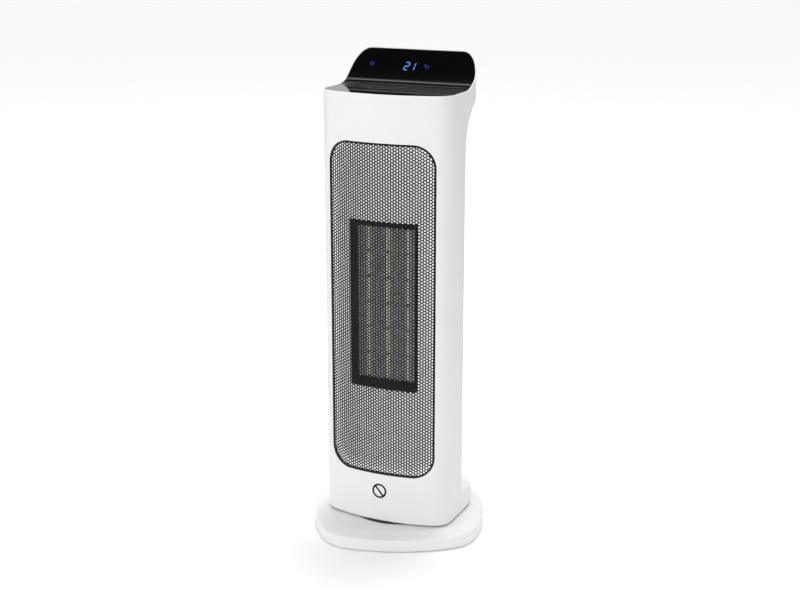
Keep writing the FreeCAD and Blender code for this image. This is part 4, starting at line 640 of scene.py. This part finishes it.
# Takes flat XY drawings to the cover's slope: X stays across, Y runs up the slope.
def slopeMatrix(x, alongSlope):
    low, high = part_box("control_panel")
    turn = displayLook["slope"]
    top = Vector((0, high.y, high.z))
    upward = Vector((0, math.cos(turn), math.sin(turn)))
    outward = Vector((0, -math.sin(turn), math.cos(turn)))
    spot = top - upward * alongSlope + outward * displayLook["lift"]
    return Matrix.Translation(spot + Vector((x, 0, 0))) @ Matrix.Rotation(turn, 4, "X")


# One bar of a figure, with pointed ends.
def addBar(form, centre, length, turn):
    made = bmesh.ops.create_grid(form, x_segments=1, y_segments=1, size=0.5)["verts"]
    bmesh.ops.scale(form, verts=made, vec=(length, displayLook["bar"], 1))
    bevelled = bmesh.ops.bevel(
        form, geom=made, offset=displayLook["bar"] * 0.45, segments=1, profile=0.5, affect="VERTICES",
        material=-1,
    )["verts"]
    bmesh.ops.rotate(form, verts=bevelled, matrix=Matrix.Rotation(turn, 3, "Z"))
    bmesh.ops.translate(form, verts=bevelled, vec=(*centre, 0))


# A leaning seven-bar figure.
def addFigure(form, digit, left):
    wide, tall, bar = displayLook["figureWide"], displayLook["figureTall"], displayLook["bar"]
    barsOfDigit = {"2": "top upperRight middle lowerLeft bottom", "1": "upperRight lowerRight"}
    spots = {
        "top": ((0, tall / 2), wide, 0), "middle": ((0, 0), wide, 0), "bottom": ((0, -tall / 2), wide, 0),
        "upperRight": ((wide / 2, tall / 4), tall / 2, math.pi / 2),
        "lowerRight": ((wide / 2, -tall / 4), tall / 2, math.pi / 2),
        "upperLeft": ((-wide / 2, tall / 4), tall / 2, math.pi / 2),
        "lowerLeft": ((-wide / 2, -tall / 4), tall / 2, math.pi / 2),
    }
    before = set(form.verts)
    for name in barsOfDigit[digit].split():
        centre, length, turn = spots[name]
        addBar(form, centre, length - bar * 0.35, turn)
    for vert in set(form.verts) - before:
        vert.co.x += left + vert.co.y * displayLook["lean"]


# Gives a flat drawing a closed thickness behind it.
def thicken(form, depth):
    made = bmesh.ops.extrude_face_region(form, geom=form.faces[:])["geom"]
    verts = [item for item in made if isinstance(item, bmesh.types.BMVert)]
    bmesh.ops.translate(form, verts=verts, vec=(0, 0, -depth))
    bmesh.ops.recalc_face_normals(form, faces=form.faces)


def addRing(form, centre, radius, stroke, segments=24):
    made = bmesh.ops.create_circle(form, cap_ends=True, segments=segments, radius=radius)["verts"]
    face = made[0].link_faces[0]
    bmesh.ops.inset_individual(form, faces=[face], thickness=stroke)
    around = {vert for ring in made for edge in ring.link_edges for vert in edge.verts}
    bmesh.ops.delete(form, geom=[face], context="FACES_ONLY")
    bmesh.ops.translate(form, verts=list(around), vec=(*centre, 0))


def makeDisplay():
    low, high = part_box("display_module")
    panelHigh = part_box("control_panel")[1]
    middleHeight = (low.z + high.z) / 2
    alongSlope = (panelHigh.z - middleHeight) / math.sin(displayLook["slope"]) - displayLook["raise"]
    gap = displayLook["figureGap"]
    figures = bmesh.new()
    addFigure(figures, "2", -gap / 2)
    addFigure(figures, "1", gap / 2 + displayLook["oneShift"])
    thicken(figures, displayLook["thick"])
    figures.transform(slopeMatrix(high.x - displayLook["figuresFromRight"], alongSlope))
    newPiece("litFigures", figures, "figureGlow", "tower")
    icons = bmesh.new()
    for side, inward, up, radius, stroke in iconRings:
        across = low.x + inward if side == "left" else high.x - inward
        addRing(icons, (across, up), radius, stroke)
    thicken(icons, displayLook["thick"])
    icons.transform(slopeMatrix(0, alongSlope))
    newPiece("dimIcons", icons, "iconGlow", "tower")


makeDisplay()
print("display made")


# Printed ring and bar under the grille.

markLook = {"radius": 10 * mm, "stroke": 2.5 * mm, "height": 65.5 * mm, "lift": 0.03 * mm,
            "turn": math.radians(-50)}


def makeMark():
    form = bmesh.new()
    addRing(form, (0, 0), markLook["radius"], markLook["stroke"], segments=64)
    bar = bmesh.ops.create_grid(form, x_segments=8, y_segments=1, size=0.5)["verts"]
    length = 2 * (markLook["radius"] - markLook["stroke"] / 2)
    bmesh.ops.scale(form, verts=bar, vec=(length, markLook["stroke"], 1))
    bmesh.ops.rotate(form, verts=bar, matrix=Matrix.Rotation(markLook["turn"], 3, "Z"))
    thicken(form, 2 * markLook["lift"])
    bmesh.ops.rotate(form, verts=form.verts, matrix=Matrix.Rotation(math.radians(90), 3, "X"))
    bmesh.ops.translate(form, verts=form.verts, vec=(0, -markLook["lift"], markLook["height"]))
    bendOntoFront(form, 0)
    newPiece("printedMark", form, "blackTrim", "tower")


makeMark()
print("printed mark made")


# On and off marks, laid on the rocker's bent face.

rockerMarkLook = {"stroke": 0.7 * mm, "tall": 3.6 * mm, "radius": 1.8 * mm, "lift": 0.12 * mm,
                  "across": 4.4 * mm}


def makeRockerMarks():
    low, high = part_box("power_rocker")
    middle, lift = (low + high) / 2, rockerMarkLook["lift"]
    form = bmesh.new()
    addRing(form, (-rockerMarkLook["across"], 0), rockerMarkLook["radius"], rockerMarkLook["stroke"])
    bar = bmesh.ops.create_grid(form, x_segments=1, y_segments=4, size=0.5)["verts"]
    bmesh.ops.scale(form, verts=bar, vec=(rockerMarkLook["stroke"], rockerMarkLook["tall"], 1))
    bmesh.ops.translate(form, verts=bar, vec=(rockerMarkLook["across"], 0, 0))
    thicken(form, 2 * lift)
    bmesh.ops.rotate(form, verts=form.verts, matrix=Matrix.Rotation(math.radians(-90), 3, "X"))
    bmesh.ops.translate(form, verts=form.verts, vec=(middle.x, 0, middle.z))
    rocker = BVHTree.FromPolygons(
        [vert.co for vert in nodes["power_rocker"].data.vertices],
        [face.vertices for face in nodes["power_rocker"].data.polygons],
    )
    for vert in form.verts:
        face = rocker.ray_cast(Vector((vert.co.x, high.y + lift, vert.co.z)), Vector((0, -1, 0)))[0]
        vert.co.y += face.y + lift
    newPiece("rockerMarks", form, "whitePlastic", "rocker")


makeRockerMarks()
print("rocker marks made")


# Camera, light and floor.

cameraLook = {"lens": 64.05, "turn": 24, "pitch": 15.79, "distance": 1761.3 * mm, "height": 803.4 * mm,
              "aside": 0.76 * mm}


def makeCamera():
    camera = bpy.data.cameras.new("camera")
    camera.lens = cameraLook["lens"]
    camera.sensor_width = 36
    holder = bpy.data.objects.new("camera", camera)
    turn = math.radians(cameraLook["turn"])
    back, across = cameraLook["distance"], cameraLook["aside"]
    holder.location = (
        across * math.cos(turn) + back * math.sin(turn),
        across * math.sin(turn) - back * math.cos(turn),
        cameraLook["height"],
    )
    holder.rotation_euler = (math.radians(90 - cameraLook["pitch"]), 0, turn)
    bpy.context.scene.collection.objects.link(holder)
    bpy.context.scene.camera = holder


lampLook = {
    "leftLamp": {"azimuth": -34, "elevation": 28, "distance": 2.6, "size": 1.6, "power": 24},
    "rightLamp": {"azimuth": 36, "elevation": 28, "distance": 2.8, "size": 1.4, "power": 18},
    "topLamp": {"azimuth": 180, "elevation": 72, "distance": 2.2, "size": 1.2, "power": 36},
}


# An area lamp that looks at the tower's middle; its azimuth is counted like the camera's.
def addLamp(name, look):
    lamp = bpy.data.lights.new(name, "AREA")
    lamp.size = look["size"]
    lamp.energy = look["power"]
    holder = bpy.data.objects.new(name, lamp)
    turn, rise = math.radians(look["azimuth"]), math.radians(look["elevation"])
    back = Vector((math.sin(turn) * math.cos(rise), -math.cos(turn) * math.cos(rise), math.sin(rise)))
    towerMiddle = Vector((0, 0, 300 * mm))
    holder.location = towerMiddle + back * look["distance"]
    holder.rotation_euler = back.to_track_quat("Z", "Y").to_euler()
    bpy.context.scene.collection.objects.link(holder)


skyLook = {
    "ambient": 0.68, "back": 0.95, "stripHalfWidth": 0.7, "stripFade": 0.12,
    # A strip of sky that runs from the back horizon (0) over the top to the front one (1).
    "bands": ((0.0, 0.005), (0.17, 0.005), (0.2, 0.4), (0.25, 0.4), (0.29, 0.02), (0.34, 0.02), (0.36, 2.2),
              (0.39, 1.0), (0.42, 0.02), (0.8, 0.02), (0.86, 0.68)),
    "lowSide": {"from": -0.436, "to": -0.428, "top": 0.16, "level": 0.8},
}


# White to the camera; as light it is pale, with dark and bright bands that only gloss shows.
def makeSky():
    world = bpy.data.worlds.new("studio")
    bpy.context.scene.world = world
    world.use_nodes = True
    tree = world.node_tree
    tree.nodes.clear()
    way = addNode(tree, "ShaderNodeTexCoord").outputs["Generated"]
    parts = addNode(tree, "ShaderNodeSeparateXYZ", {0: way})
    plain = remap(tree, parts.outputs["Y"], -0.2, 0.6, skyLook["ambient"], skyLook["back"])
    over = addMath(tree, "ARCTAN2", parts.outputs["Z"], parts.outputs["Y"])
    ramp = addNode(tree, "ShaderNodeValToRGB", {0: addMath(tree, "DIVIDE", over, math.pi)})
    stops = ramp.color_ramp.elements
    while len(stops) < len(skyLook["bands"]):
        stops.new(0.5)
    for stop, (spot, level) in zip(stops, skyLook["bands"]):
        stop.position = spot
        stop.color = grey(level)
    aside = addMath(tree, "ABSOLUTE", parts.outputs["X"])
    edge = skyLook["stripHalfWidth"]
    inStrip = remap(tree, aside, edge - skyLook["stripFade"], edge, 1.0, 0.0)
    low = skyLook["lowSide"]
    leftOf = remap(tree, parts.outputs["X"], low["from"], low["to"], 1.0, 0.0)
    under = remap(tree, addMath(tree, "DIVIDE", over, math.pi), low["top"] - 0.02, low["top"], 1.0, 0.0)
    inCorner = addMath(tree, "MULTIPLY", leftOf, under)
    banded = blendColours(tree, inCorner, ramp.outputs["Color"], grey(low["level"]))
    strength = blendColours(tree, inStrip, plain, banded)
    light = addNode(tree, "ShaderNodeBackground", {"Color": strength, "Strength": 1.0})
    seen = addNode(tree, "ShaderNodeBackground", {"Color": grey(1.0), "Strength": 1.0})
    path = addNode(tree, "ShaderNodeLightPath")
    mix = {0: path.outputs["Is Camera Ray"], 1: light.outputs[0], 2: seen.outputs[0]}
    both = addNode(tree, "ShaderNodeMixShader", mix)
    out = addNode(tree, "ShaderNodeOutputWorld")
    tree.links.new(both.outputs[0], out.inputs["Surface"])


# The floor glows to the camera only: painted light, weaker near the tower, so the floor is painted darker
# round the base and white far off.
floorLook = {"radius": 30, "tone": 0.9, "nearGlow": 0.18, "farGlow": 0.62, "near": 0.18, "far": 0.9}


def makeFloor():
    form = bmesh.new()
    bmesh.ops.create_circle(form, cap_ends=True, segments=96, radius=floorLook["radius"])
    mesh = bpy.data.meshes.new("floor")
    form.to_mesh(mesh)
    form.free()
    floor = bpy.data.objects.new("floor", mesh)
    bpy.context.scene.collection.objects.link(floor)
    material, tree, shader, place = newMaterial("floorPaper")
    shader.inputs["Base Color"].default_value = grey(floorLook["tone"])
    shader.inputs["Roughness"].default_value = 0.9
    shader.inputs["Specular IOR Level"].default_value = 0.0
    shader.inputs["Emission Color"].default_value = grey(1.0)
    seen = addNode(tree, "ShaderNodeLightPath").outputs["Is Camera Ray"]
    away = addNode(tree, "ShaderNodeVectorMath", {0: place}, operation="LENGTH").outputs["Value"]
    look = floorLook
    glow = remap(tree, away, look["near"], look["far"], look["nearGlow"], look["farGlow"])
    tree.links.new(addMath(tree, "MULTIPLY", seen, glow), shader.inputs["Emission Strength"])
    mesh.materials.append(material)


makeCamera()
makeSky()
for name, look in lampLook.items():
    addLamp(name, look)
makeFloor()
bpy.context.scene.view_settings.view_transform = "Standard"
print("studio made")
